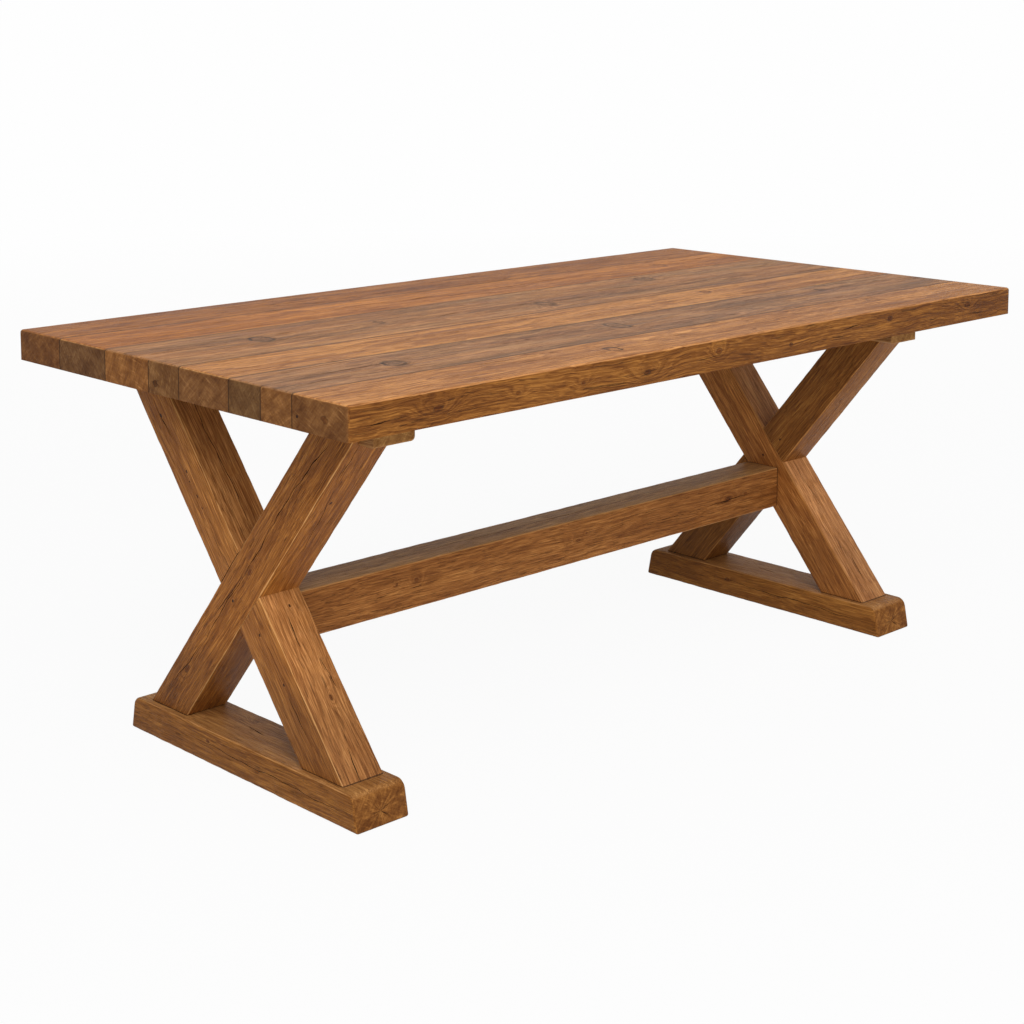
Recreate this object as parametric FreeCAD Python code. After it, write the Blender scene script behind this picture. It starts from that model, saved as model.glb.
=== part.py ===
import FreeCAD, Part
import math
import os

# A farmhouse sawbuck table: eight glued staves on two half-lapped X frames, joined by one
# stretcher. Lengths in mm. X runs along the table, Y across it with the front at -Y, and Z up.
# The origin is on the floor, under the middle of the top.

# ---------------------------------------------------------------- driving dimensions
table_height = 762.0
top_length = 1830.0
top_thickness = 57.0
stave_widths = (142.0, 151.0, 136.0, 90.0, 141.0, 86.0, 81.0, 138.0)   # back to front
top_edge_radius = 6.0            # eased upper arrises and corners of the whole top
top_lower_chamfer = 1.5          # the saw-sharp lower arris, just broken
seam_ease = 0.5                  # fine chamfer along each glued joint

tongue_thickness = 12.0
tongue_width = 30.0
tongue_stop = 90.0               # the groove ends this far short of the end grain

frame_set_in = 186.0             # from the end of the top to the middle of each X frame
leg_thickness = 89.0             # along the table
leg_width = 89.0                 # across the leg's own length
leg_arris_radius = 3.5
head_cheek_thickness = 15.5      # the leg's outer cheek, which laps the side of the cleat
foot_spread = 228.0              # mid-table to the leg's centre line, on the foot beam
head_spread = 256.0              # mid-table to the leg's centre line, under the cleat

foot_beam_height = 64.0
foot_beam_width = 114.0
foot_beam_length = 675.0         # along the floor
foot_end_slope = 12.0            # each end leans in by this much at the top
foot_shoulder_radius = 16.0
foot_arris_radius = 4.0

cleat_height = 55.0
cleat_width = 90.0
cleat_length = 704.0
cleat_lower_radius = 8.0         # on its inner arris only
cleat_end_chamfer = 1.5

stretcher_width = 89.0
stretcher_height = 89.0
stretcher_drop = 103.0           # from the middle of the crossing to the stretcher's underside
stretcher_arris_radius = 3.5

leg_tenon_thickness = 32.0       # along the table
leg_tenon_width = 78.0           # across it
leg_tenon_depth = 36.0
stretcher_tenon_width = 50.0
stretcher_tenon_height = 40.0
stretcher_tenon_depth = 30.0
stretcher_tenon_drop = 8.0       # from the stretcher's top face to the tenon's top
tenon_end_chamfer = 2.0

screw_shank_diameter = 8.0
screw_thread_reach = 38.0        # into the staves
screw_head_across_flats = 13.0
screw_head_height = 5.5
screw_washer_diameter = 22.0
screw_washer_thickness = 2.0
screw_slot_travel = 10.0         # lets the top swell and shrink across its grain
screw_offsets = (-130.0, 0.0, 130.0)

bolt_diameter = 10.0
bolt_reach = 45.0                # into the crossing, past the tenon
nut_across_flats = 17.0
nut_height = 8.0
bolt_washer_diameter = 26.0
bolt_washer_thickness = 2.0
pocket_width = 34.0
pocket_length = 42.0
pocket_corner_radius = 8.0
pocket_from_end = 62.0           # from the shoulder to the pocket's bearing wall
bolt_past_nut = 6.0

glue_fit = 0.15                  # each side of a tenon or tongue
end_gap = 1.5                    # room for glue at the bottom of a mortise or groove
hole_clearance = 0.5             # each side of a screw or bolt in its hole

# ---------------------------------------------------------------- sizes that follow
top_width = sum(stave_widths)
frame_centre = top_length / 2 - frame_set_in
top_underside = table_height - top_thickness
cleat_underside = top_underside - cleat_height
leg_rise = cleat_underside - foot_beam_height
leg_run = foot_spread + head_spread
leg_lean = math.atan2(leg_run, leg_rise)                  # from the vertical
sawn_leg_length = 2 * math.hypot(leg_run, leg_rise)       # longer than any cut leg
crossing_height = foot_beam_height + leg_rise * foot_spread / leg_run
stretcher_underside = crossing_height - stretcher_drop
frame_inner_face = frame_centre - leg_thickness / 2
frame_outer_face = frame_centre + leg_thickness / 2
cleat_centre = frame_outer_face - head_cheek_thickness - cleat_width / 2
stretcher_mid_height = stretcher_underside + stretcher_height / 2
tenon_mid_height = (stretcher_underside + stretcher_height
                    - stretcher_tenon_drop - stretcher_tenon_height / 2)
tongue_height = top_underside + top_thickness / 2          # the middle of the top

X_AXIS = FreeCAD.Vector(1, 0, 0)
Y_AXIS = FreeCAD.Vector(0, 1, 0)
Z_AXIS = FreeCAD.Vector(0, 0, 1)


# ---------------------------------------------------------------- shared shapes
def block(size, centre):
    """A plain block of size (x, y, z) about its centre."""
    corner = [middle - extent / 2 for middle, extent in zip(centre, size)]
    return Part.makeBox(*size, FreeCAD.Vector(*corner))


def edges_along(solid, direction, keep=lambda middle: True):
    """The straight edges that run along a direction and whose middle point passes keep."""
    found = []
    for edge in solid.Edges:
        start = edge.Vertexes[0].Point
        end = edge.Vertexes[-1].Point
        run = end.sub(start)
        if run.Length < 1e-6:
            continue
        if abs(abs(run.normalize().dot(direction)) - 1.0) > 1e-6:
            continue
        if keep(start.add(end).multiply(0.5)):
            found.append(edge)
    return found


def rounded_bar(length, width, height, radius):
    """A beam along X about the origin with its four long arrises eased."""
    beam = block((length, width, height), (0, 0, 0))
    return beam.makeFillet(radius, edges_along(beam, X_AXIS))


def edges_in_plane(solid, point, normal):
    """The edges that lie wholly in the plane through point."""
    return [edge for edge in solid.Edges
            if all(abs(corner.Point.sub(point).dot(normal)) < 1e-6 for corner in edge.Vertexes)]


def stub_tenon(thickness, width, depth, root, outward):
    """A tenon that grows from root along outward, its end chamfered to start in the mortise.

    Thickness lies along the table for an upright tenon and upright for a level one."""
    middle = root.add(FreeCAD.Vector(outward).multiply(depth / 2))
    upright = abs(outward.z) > 0.5
    size = (thickness, width, depth) if upright else (depth, width, thickness)
    tenon = block(size, middle)
    end_plane = root.add(FreeCAD.Vector(outward).multiply(depth))
    return tenon.makeChamfer(tenon_end_chamfer, edges_in_plane(tenon, end_plane, outward))


def slot(width, travel, depth, centre_bottom):
    """An upright slot along Y that starts at centre_bottom and goes up."""
    x, y, z = centre_bottom
    hole = block((width, travel, depth), (x, y, z + depth / 2))
    for side in (-1, 1):
        foot = FreeCAD.Vector(x, y + side * travel / 2, z)
        hole = hole.fuse(Part.makeCylinder(width / 2, depth, foot, Z_AXIS))
    return hole.removeSplitter()


def hexagon_prism(across_flats, height, base, direction):
    """A hexagon head or nut that starts at base and grows along direction."""
    radius = across_flats / math.sqrt(3)
    corners = []
    for step in range(7):
        turn = math.radians(60 * step)
        corners.append(FreeCAD.Vector(radius * math.cos(turn), radius * math.sin(turn), 0))
    prism = Part.Face(Part.makePolygon(corners)).extrude(FreeCAD.Vector(0, 0, height))
    prism.Placement = FreeCAD.Placement(base, FreeCAD.Rotation(Z_AXIS, direction))
    return prism


def mirrored(solid):
    """The same piece for the other end of the table."""
    return solid.mirror(FreeCAD.Vector(0, 0, 0), X_AXIS)


# ---------------------------------------------------------------- the top
def seam_positions():
    """The Y of every edge between staves, back to front, with both outer edges."""
    places = [top_width / 2]
    for width in stave_widths:
        places.append(places[-1] - width)
    return places


def tongue_groove(seam_y):
    """The stopped groove for one loose tongue, cut half into each neighbour."""
    size = (top_length - 2 * tongue_stop, tongue_width + 2 * end_gap,
            tongue_thickness + 2 * glue_fit)
    return block(size, (0, seam_y, tongue_height))


def top_blank():
    """The outline of the finished top, with its corners and all its outer arrises eased."""
    slab = block((top_length, top_width, top_thickness), (0, 0, tongue_height))
    corners = edges_along(slab, Z_AXIS)
    slab = slab.makeFillet(top_edge_radius, corners)
    upper_rim = edges_in_plane(slab, FreeCAD.Vector(0, 0, table_height), Z_AXIS)
    slab = slab.makeFillet(top_edge_radius, upper_rim)
    lower_rim = edges_in_plane(slab, FreeCAD.Vector(0, 0, top_underside), Z_AXIS)
    return slab.makeChamfer(top_lower_chamfer, lower_rim)


def top_stave(back_y, front_y, blank):
    """One stave: its share of the top, with grooves and a fine chamfer along each joint."""
    width = back_y - front_y
    share = block((top_length, width, top_thickness), (0, (back_y + front_y) / 2, tongue_height))
    outer = top_width / 2 - seam_ease
    joint_edges = edges_along(share, X_AXIS,
                              lambda m: abs(m.y) < outer and m.z > table_height - seam_ease)
    stave = share.makeChamfer(seam_ease, joint_edges).common(blank)
    for seam_y in (back_y, front_y):
        if abs(seam_y) < outer:
            stave = stave.cut(tongue_groove(seam_y))
    return stave


def coach_screw_places():
    return [(cleat_centre * side, y) for side in (-1, 1) for y in screw_offsets]


def with_pilot_holes(stave, back_y, front_y):
    """The pilot holes of the coach screws that go up into this stave."""
    for x, y in coach_screw_places():
        if front_y < y < back_y:
            pilot = Part.makeCylinder(screw_shank_diameter / 2 + glue_fit,
                                      screw_thread_reach + end_gap,
                                      FreeCAD.Vector(x, y, top_underside), Z_AXIS)
            stave = stave.cut(pilot)
    return stave


def top_tongues():
    """Seven loose tongues, one in each glued joint."""
    bars = []
    for seam_y in seam_positions()[1:-1]:
        size = (top_length - 2 * tongue_stop - 2 * end_gap, tongue_width, tongue_thickness)
        bars.append(block(size, (0, seam_y, tongue_height)))
    return Part.makeCompound(bars)


# ---------------------------------------------------------------- one X frame, the left one
def leg_tenon_places(head_side):
    """Centre Y of the leg's foot and head; head_side is -1 for a head at the front."""
    return -head_side * foot_spread, head_side * head_spread


def lean(upright, head_side, x):
    """Tilt an upright shape to the slope of a leg and set it through the crossing."""
    upright.rotate(FreeCAD.Vector(0, 0, 0), X_AXIS, -head_side * math.degrees(leg_lean))
    upright.translate(FreeCAD.Vector(x, 0, crossing_height))
    return upright


def leaning_beam(head_side):
    """The leg as sawn: a beam through the crossing that runs past the floor and the top."""
    beam = rounded_bar(sawn_leg_length, leg_width, leg_thickness, leg_arris_radius)
    beam.rotate(FreeCAD.Vector(0, 0, 0), Y_AXIS, 90)
    return lean(beam, head_side, -frame_centre)


def lap_notch(other_head_side, outside):
    """What the half-lap takes out of a leg: the half of the other leg that passes there."""
    depth = leg_thickness / 2
    notch = block((depth, leg_width, sawn_leg_length), (0, 0, 0))
    side = -1 if outside else 1
    return lean(notch, other_head_side, -frame_centre + side * depth / 2)


def stretcher_mortise():
    """The mortise in the crossing, and the hole for the hanger bolt beyond it."""
    depth = stretcher_tenon_depth + end_gap
    size = (depth, stretcher_tenon_width + 2 * glue_fit, stretcher_tenon_height + 2 * glue_fit)
    mortise = block(size, (-frame_inner_face - depth / 2, 0, tenon_mid_height))
    bolt_length = stretcher_tenon_depth + bolt_reach + end_gap
    bolt_hole = Part.makeCylinder(bolt_diameter / 2 + glue_fit, bolt_length,
                                  FreeCAD.Vector(-frame_inner_face - bolt_length, 0,
                                                 tenon_mid_height), X_AXIS)
    return mortise.fuse(bolt_hole)


def cross_leg(head_side, continuous_outside):
    """One leg: level shoulders, a stub tenon at each end, half of the lap and a head cheek."""
    foot_y, head_y = leg_tenon_places(head_side)
    between_shoulders = block((2 * leg_thickness, 2 * sawn_leg_length, leg_rise),
                              (-frame_centre, 0, foot_beam_height + leg_rise / 2))
    beside_cleat = block((head_cheek_thickness, 2 * sawn_leg_length, cleat_height),
                         (-frame_outer_face + head_cheek_thickness / 2, 0,
                          cleat_underside + cleat_height / 2))
    leg = leaning_beam(head_side).common(between_shoulders.fuse(beside_cleat))
    for place_y, shoulder, way in ((foot_y, foot_beam_height, -1), (head_y, cleat_underside, 1)):
        root = FreeCAD.Vector(-frame_centre, place_y, shoulder)
        leg = leg.fuse(stub_tenon(leg_tenon_thickness, leg_tenon_width, leg_tenon_depth,
                                  root, FreeCAD.Vector(0, 0, way)))
    leg = leg.cut(lap_notch(-head_side, not continuous_outside))
    return leg.cut(stretcher_mortise()).removeSplitter()


def leg_mortises(shoulder, way, places):
    """The mortises for two leg tenons, cut from a level face; way is -1 for down."""
    depth = leg_tenon_depth + end_gap
    size = (leg_tenon_thickness + 2 * glue_fit, leg_tenon_width + 2 * glue_fit, depth)
    mid_height = shoulder + way * depth / 2
    return Part.makeCompound([block(size, (-frame_centre, y, mid_height)) for y in places])


def foot_beam():
    """The foot: its ends lean in, their upper corners are well rounded, side arrises eased."""
    half_floor = foot_beam_length / 2
    half_top = half_floor - foot_end_slope
    outline = [(-half_floor, 0), (half_floor, 0), (half_top, foot_beam_height),
               (-half_top, foot_beam_height)]
    outer_x = -frame_centre - foot_beam_width / 2
    inner_x = -frame_centre + foot_beam_width / 2
    points = [FreeCAD.Vector(outer_x, y, z) for y, z in outline]
    profile = Part.Face(Part.makePolygon(points + points[:1]))
    beam = profile.extrude(FreeCAD.Vector(inner_x - outer_x, 0, 0))
    shoulders = edges_along(beam, X_AXIS, lambda m: m.z > foot_beam_height / 2)
    beam = beam.makeFillet(foot_shoulder_radius, shoulders)
    for side_x in (outer_x, inner_x):
        rim = [edge for edge in edges_in_plane(beam, FreeCAD.Vector(side_x, 0, 0), X_AXIS)
               if max(corner.Z for corner in edge.Vertexes) > 1e-6]
        beam = beam.makeFillet(foot_arris_radius, rim)
    return beam.cut(leg_mortises(foot_beam_height, -1, (-foot_spread, foot_spread)))


def cleat():
    """The cleat: rounded below, mortised for the leg heads, slotted for the coach screws."""
    mid_height = cleat_underside + cleat_height / 2
    beam = block((cleat_width, cleat_length, cleat_height), (-cleat_centre, 0, mid_height))
    inner_lower = edges_along(beam, Y_AXIS, lambda m: m.z < mid_height and m.x > -cleat_centre)
    beam = beam.makeFillet(cleat_lower_radius, inner_lower)
    for side in (-1, 1):
        end_face = FreeCAD.Vector(0, side * cleat_length / 2, 0)
        rim = [edge for edge in edges_in_plane(beam, end_face, Y_AXIS)
               if min(corner.Z for corner in edge.Vertexes) < top_underside - 1e-6]
        beam = beam.makeChamfer(cleat_end_chamfer, rim)
    beam = beam.cut(leg_mortises(cleat_underside, 1, (-head_spread, head_spread)))
    for y in screw_offsets:
        beam = beam.cut(slot(screw_shank_diameter + 2 * hole_clearance, screw_slot_travel,
                             cleat_height, (-cleat_centre, y, cleat_underside)))
    return beam


# ---------------------------------------------------------------- the stretcher
def stretcher():
    """The stretcher: a beam between the frames with a stub tenon and a nut pocket at each end."""
    half = frame_inner_face
    beam = rounded_bar(2 * half, stretcher_width, stretcher_height, stretcher_arris_radius)
    beam.translate(FreeCAD.Vector(0, 0, stretcher_mid_height))
    for side in (-1, 1):
        root = FreeCAD.Vector(side * half, 0, tenon_mid_height)
        beam = beam.fuse(stub_tenon(stretcher_tenon_height, stretcher_tenon_width,
                                    stretcher_tenon_depth, root, FreeCAD.Vector(side, 0, 0)))
    pocket_top = tenon_mid_height + pocket_width / 2
    pocket_height = pocket_top - stretcher_underside
    for side in (-1, 1):
        wall = bearing_point(side).x
        pocket = block((pocket_length, pocket_width, pocket_height),
                       (wall - side * pocket_length / 2, 0,
                        stretcher_underside + pocket_height / 2))
        far_uprights = edges_along(pocket, Z_AXIS, lambda m: abs(m.x) < abs(wall) - 1e-6)
        pocket = pocket.makeFillet(pocket_corner_radius, far_uprights)
        bolt_hole = Part.makeCylinder(bolt_diameter / 2 + hole_clearance,
                                      pocket_from_end + stretcher_tenon_depth,
                                      bearing_point(side), FreeCAD.Vector(side, 0, 0))
        beam = beam.cut(pocket).cut(bolt_hole)
    return beam


# ---------------------------------------------------------------- screws and bolts
def cleat_screws():
    """The coach screws, each in the middle of its slot with its head below the cleat."""
    screws = []
    head_z = cleat_underside - screw_washer_thickness
    shank_length = top_underside + screw_thread_reach - head_z
    for x, y in coach_screw_places():
        seat = FreeCAD.Vector(x, y, head_z)
        shank = Part.makeCylinder(screw_shank_diameter / 2, shank_length, seat, Z_AXIS)
        head = hexagon_prism(screw_head_across_flats, screw_head_height, seat,
                             FreeCAD.Vector(0, 0, -1))
        screws.append(shank.fuse(head))
    return Part.makeCompound(screws)


def ring(outer_diameter, inner_diameter, thickness, base, direction):
    washer = Part.makeCylinder(outer_diameter / 2, thickness, base, direction)
    return washer.cut(Part.makeCylinder(inner_diameter / 2, thickness, base, direction))


def cleat_washers():
    """A washer between each coach screw's head and the underside of the cleat."""
    base_z = cleat_underside - screw_washer_thickness
    rings = [ring(screw_washer_diameter, screw_shank_diameter + 2 * hole_clearance,
                  screw_washer_thickness, FreeCAD.Vector(x, y, base_z), Z_AXIS)
             for x, y in coach_screw_places()]
    return Part.makeCompound(rings)


def bearing_point(side):
    """Where the bolt comes out of the wood, on the bearing wall of the nut pocket."""
    return FreeCAD.Vector(side * (frame_inner_face - pocket_from_end), 0, tenon_mid_height)


def stretcher_bolts():
    """A hanger bolt at each end: screwed into the crossing, threaded for the nut."""
    bolts = []
    inner_reach = bolt_washer_thickness + nut_height + bolt_past_nut
    length = bolt_reach + stretcher_tenon_depth + pocket_from_end + inner_reach
    for side in (-1, 1):
        start = bearing_point(side).sub(FreeCAD.Vector(side * inner_reach, 0, 0))
        bolts.append(Part.makeCylinder(bolt_diameter / 2, length, start,
                                       FreeCAD.Vector(side, 0, 0)))
    return Part.makeCompound(bolts)


def stretcher_washers():
    rings = [ring(bolt_washer_diameter, bolt_diameter + 2 * hole_clearance,
                  bolt_washer_thickness, bearing_point(side), FreeCAD.Vector(-side, 0, 0))
             for side in (-1, 1)]
    return Part.makeCompound(rings)


def stretcher_nuts():
    nuts = []
    for side in (-1, 1):
        base = bearing_point(side).sub(FreeCAD.Vector(side * bolt_washer_thickness, 0, 0))
        inward = FreeCAD.Vector(-side, 0, 0)
        nut = hexagon_prism(nut_across_flats, nut_height, base, inward)
        nuts.append(nut.cut(Part.makeCylinder(bolt_diameter / 2 + glue_fit, nut_height,
                                              base, inward)))
    return Part.makeCompound(nuts)


# ---------------------------------------------------------------- build every piece
def build():
    pieces = {}
    blank = top_blank()
    seams = seam_positions()
    for number in range(len(stave_widths)):
        back_y, front_y = seams[number], seams[number + 1]
        stave = top_stave(back_y, front_y, blank)
        pieces["top_stave_%d" % (number + 1)] = with_pilot_holes(stave, back_y, front_y)
    pieces["top_tongues"] = top_tongues()

    left = {
        "leg_front_head": cross_leg(-1, True),
        "leg_back_head": cross_leg(1, False),
        "foot_beam": foot_beam(),
        "cleat": cleat(),
    }
    for name, solid in left.items():
        pieces["left_" + name] = solid
        pieces["right_" + name] = mirrored(solid)

    pieces["stretcher"] = stretcher()
    pieces["cleat_screws"] = cleat_screws()
    pieces["cleat_washers"] = cleat_washers()
    pieces["stretcher_bolts"] = stretcher_bolts()
    pieces["stretcher_washers"] = stretcher_washers()
    pieces["stretcher_nuts"] = stretcher_nuts()
    return pieces


os.makedirs("parts", exist_ok=True)
for name, shape in build().items():
    shape.exportStep("parts/%s.step" % name)
    print(name, len(shape.Solids), "solids", round(shape.Volume / 1000), "cm3", shape.isValid())
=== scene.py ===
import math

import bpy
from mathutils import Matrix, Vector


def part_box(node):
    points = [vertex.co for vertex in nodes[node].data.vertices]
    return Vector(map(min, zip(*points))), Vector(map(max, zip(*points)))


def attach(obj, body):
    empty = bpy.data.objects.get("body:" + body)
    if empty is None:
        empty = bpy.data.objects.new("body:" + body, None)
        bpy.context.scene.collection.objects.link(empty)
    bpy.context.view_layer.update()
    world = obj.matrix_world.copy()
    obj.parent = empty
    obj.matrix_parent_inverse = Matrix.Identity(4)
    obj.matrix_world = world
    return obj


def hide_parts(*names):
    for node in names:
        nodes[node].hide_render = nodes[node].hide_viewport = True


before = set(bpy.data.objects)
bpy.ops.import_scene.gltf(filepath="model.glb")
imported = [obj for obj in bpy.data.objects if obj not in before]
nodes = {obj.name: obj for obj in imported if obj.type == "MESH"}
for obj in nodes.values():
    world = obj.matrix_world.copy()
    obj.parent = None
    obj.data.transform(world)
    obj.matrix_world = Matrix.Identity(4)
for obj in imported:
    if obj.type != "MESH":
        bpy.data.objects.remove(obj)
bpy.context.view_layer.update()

# %% [markdown]
# # A farmhouse sawbuck table
# Eight thick staves of old pine, glued edge to edge, lie on two X-shaped frames. A stretcher
# joins the crossings. The solids of the real joinery are loaded above as a fixed frame, in
# metres, with the floor at Z = 0 and the front of the table at -Y. This file dresses them: it
# models each timber again with the small damage of use, and gives each one its own wood.

print("pieces in the frame:", len(nodes))

# %% [markdown]
# ## The camera
# A table is best shown from a standing eye, a little above its top. The camera tips down by only
# seven degrees, so that upright edges stay nearly upright, and its picture is shifted down the
# rest of the way to take in the feet, as an architect's camera does.

# %% Set up the camera
eye = (-2.6828, -2.6706, 1.3445)
heading, tip_down, roll = (math.radians(angle) for angle in (-43.93, 7.413, 0.115))
camera_data = bpy.data.cameras.new("table_camera")
camera_data.sensor_width = 36.0
camera_data.lens = 67.13
camera_data.shift_y = -0.2441
camera = bpy.data.objects.new("table_camera", camera_data)
bpy.context.scene.collection.objects.link(camera)
camera.matrix_world = (Matrix.Translation(eye)
                       @ Matrix.Rotation(heading, 4, "Z")
                       @ Matrix.Rotation(math.pi / 2 - tip_down, 4, "X")
                       @ Matrix.Rotation(roll, 4, "Z"))
bpy.context.scene.camera = camera
print("camera at", [round(value, 3) for value in camera.location])

# %% [markdown]
# ## Colours and nodes
# Colours are written as sRGB hex values, as a paint shop would, and Blender wants them linear.
# One small function turns one into the other. A second one adds a node: its inputs are filled in
# order, with a number, a colour or a link, and its options are given by name. The operation may
# follow the kind, as in Math.ADD.

# %% Helpers for every material
def colour(code):
    """An sRGB hex colour as the linear colour that a node takes."""
    parts = [int(code[place:place + 2], 16) / 255 for place in (1, 3, 5)]
    linear = [part / 12.92 if part <= 0.04045 else ((part + 0.055) / 1.055) ** 2.4
              for part in parts]
    return (*linear, 1.0)


def add(tree, kind, *values, out=0, stops=(), **options):
    """Add one node and return one output. None leaves an input; stops are a colour ramp's."""
    kind, _, operation = kind.partition(".")
    new = tree.nodes.new("ShaderNode" + kind)
    if operation:
        new.operation = operation
    for name, value in options.items():
        setattr(new, name, value)
    if stops:
        points = new.color_ramp.elements
        points[0].position, points[0].color = stops[0]
        points[1].position, points[1].color = stops[-1]
        for position, tint in stops[1:-1]:
            points.new(position).color = tint
    sockets = [socket for socket in new.inputs if socket.enabled]
    for socket, value in zip(sockets, values):
        if isinstance(value, bpy.types.NodeSocket):
            tree.links.new(value, socket)
        elif value is not None:
            socket.default_value = value
    outputs = [socket for socket in new.outputs if socket.enabled]
    return outputs[out] if outputs else None


def apart(tree, one, other):
    """How far two values lie from each other."""
    return add(tree, "Math.ABSOLUTE", add(tree, "Math.SUBTRACT", one, other))


def blank_material(name):
    """A new material and its empty node tree."""
    material = bpy.data.materials.new(name)
    material.use_nodes = True
    material.node_tree.nodes.clear()
    return material, material.node_tree


print("old pine, middle tone:", [round(part, 3) for part in colour("#A06A3E")])

# %% [markdown]
# ## Tones of stained wood
# Stained pine moves between tones in even steps. Each step down is darker and redder, and each
# step up is lighter and yellower, because blue light is lost first. So five tones follow from
# the middle one and from the size of the step.

# %% Five tones about a middle one
def shades(code, step):
    """Stops of a colour ramp, from two steps below a middle tone to two above it."""
    stops = []
    for position, move in ((0.0, -2.3), (0.26, -1.0), (0.5, 0.0), (0.74, 1.0), (1.0, 1.9)):
        tint = [part * math.exp(move * step * share)
                for part, share in zip(colour(code), (1.0, 1.25, 1.5))]
        stops.append((position, (*(min(part, 0.9) for part in tint), 1.0)))
    return stops


def grey(*levels):
    """Stops of a colour ramp from (position, level) pairs."""
    return [(position, (level, level, level, 1.0)) for position, level in levels]


print("step down from #A06A3E:", [round(part, 3) for part in shades("#A06A3E", 0.3)[1][1]])

# %% [markdown]
# ## Where a point lies in its timber
# The pattern of wood is a solid one. It runs through the timber, so that a face shows long
# grain, an end shows rings, and both meet at the arris. So each material first turns the
# object's coordinates into the timber's own: u runs along the grain, v across its width and w
# through its thickness, all in mm.

# %% From the table's coordinates to the timber's
def timber_place(tree, centre, rows):
    """Coordinates in mm along the timber's own axes; rows are those axes as seen in the table."""
    turn = Matrix(rows)
    shift = turn @ (Vector(centre) * -1000)
    where = add(tree, "TexCoord", out=3)
    return add(tree, "Mapping", where, tuple(shift), tuple(turn.to_euler("XYZ")),
               (1000, 1000, 1000), vector_type="POINT")


def streaks(tree, where, along, across, detail=3, rough=0.6, shift=0.0):
    """A cloud drawn out along the grain into streaks about so long and so wide, in mm."""
    drawn = add(tree, "Mapping", where, (shift, shift, shift), (0, 0, 0),
                (1 / along, 1 / across, 1 / across))
    return add(tree, "TexNoise", drawn, 1, detail, rough)


along_x = ((1, 0, 0), (0, 1, 0), (0, 0, 1))
along_y = ((0, 1, 0), (-1, 0, 0), (0, 0, 1))
print("grain directions ready")

# %% [markdown]
# ## Bends of the grain
# No trunk is straight. Its rings sway by a few centimetres over a third of a metre, and waver by a
# few millimetres in every hand's breadth.

# %% Bend the grain
def bend_grain(tree, place, seed, sway, fine):
    """The timber's coordinates, unbent but its own, and bent across the grain."""
    own = add(tree, "VectorMath.ADD", place, (731.0 * seed, 57.0 * seed, 91.0 * seed))
    bent = place
    for along, across, reach in ((330, 95, sway), (55, 20, sway * fine)):
        drawn = add(tree, "Mapping", own, (0, 0, 0), (0, 0, 0), (1 / along, 1 / across, 1 / across))
        cloud = add(tree, "TexNoise", drawn, 1, 2, 0.5, out=1)
        cloud = add(tree, "VectorMath.SUBTRACT", cloud, (0.5, 0.5, 0.5))
        cloud = add(tree, "VectorMath.MULTIPLY", cloud, (0, reach, reach))
        bent = add(tree, "VectorMath.ADD", bent, cloud)
    return own, bent


print("bends ready")

# %% [markdown]
# ## Knots
# A knot is the root of a branch. The rings of the trunk bend round it, so each knot pushes the
# ring pattern outwards like a hill on a map: the contour lines close into its own small rings.
# Its heart is hard and grey-brown, and a ragged black line of bark runs round it. A dead branch
# no wider than a pencil leaves a black dot.

# %% Knots push the rings and darken the wood
def lay_knots(tree, place, ragged, knots):
    """How far the knots push the rings, in mm, and masks of their halo, heart and bark line."""
    push, halo, heart, bark = 0.0, 0.0, 0.0, 0.0
    torn = add(tree, "MapRange", ragged, 0.25, 0.75, -0.16, 0.16)
    for u, v, w, along, across, deep, height, core, line in knots:
        near = add(tree, "Mapping", place, (-u / along, -v / across, -w / deep), (0, 0, 0),
                   (1 / along, 1 / across, 1 / deep))
        away = add(tree, "VectorMath.LENGTH", near)
        away = add(tree, "Math.ADD", away, torn)
        squared = add(tree, "Math.MULTIPLY", away, away)
        hill = add(tree, "Math.POWER", 0.3679, squared)
        push = add(tree, "Math.MULTIPLY_ADD", hill, height, push)
        halo = add(tree, "Math.MAXIMUM", hill, halo)
        inside = add(tree, "MapRange", away, core * 1.05, core * 0.8, 0, 1)
        heart = add(tree, "Math.MAXIMUM", inside, heart)
        rim = apart(tree, away, core)
        uneven = add(tree, "VectorMath.ADD", near, (u, v, w))
        uneven = add(tree, "TexNoise", uneven, 1.3, 2, 0.6)
        strength = add(tree, "MapRange", uneven, 0.38, 0.58, line * 0.6, line)
        rim = add(tree, "MapRange", rim, core * 0.12, core * 0.25, strength, 0)
        if core >= 0.8:
            rim = add(tree, "Math.MULTIPLY", inside, line)
        bark = add(tree, "Math.MAXIMUM", rim, bark)
    return push, halo, heart, bark


print("knot pattern ready")

# %% [markdown]
# ## Checks
# A check is the crack that a timber opens as it dries, along the grain and deepest at the
# surface. Each one is a thin spindle: widest in the middle, gone at both ends, wandering a
# little from side to side.

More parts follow.
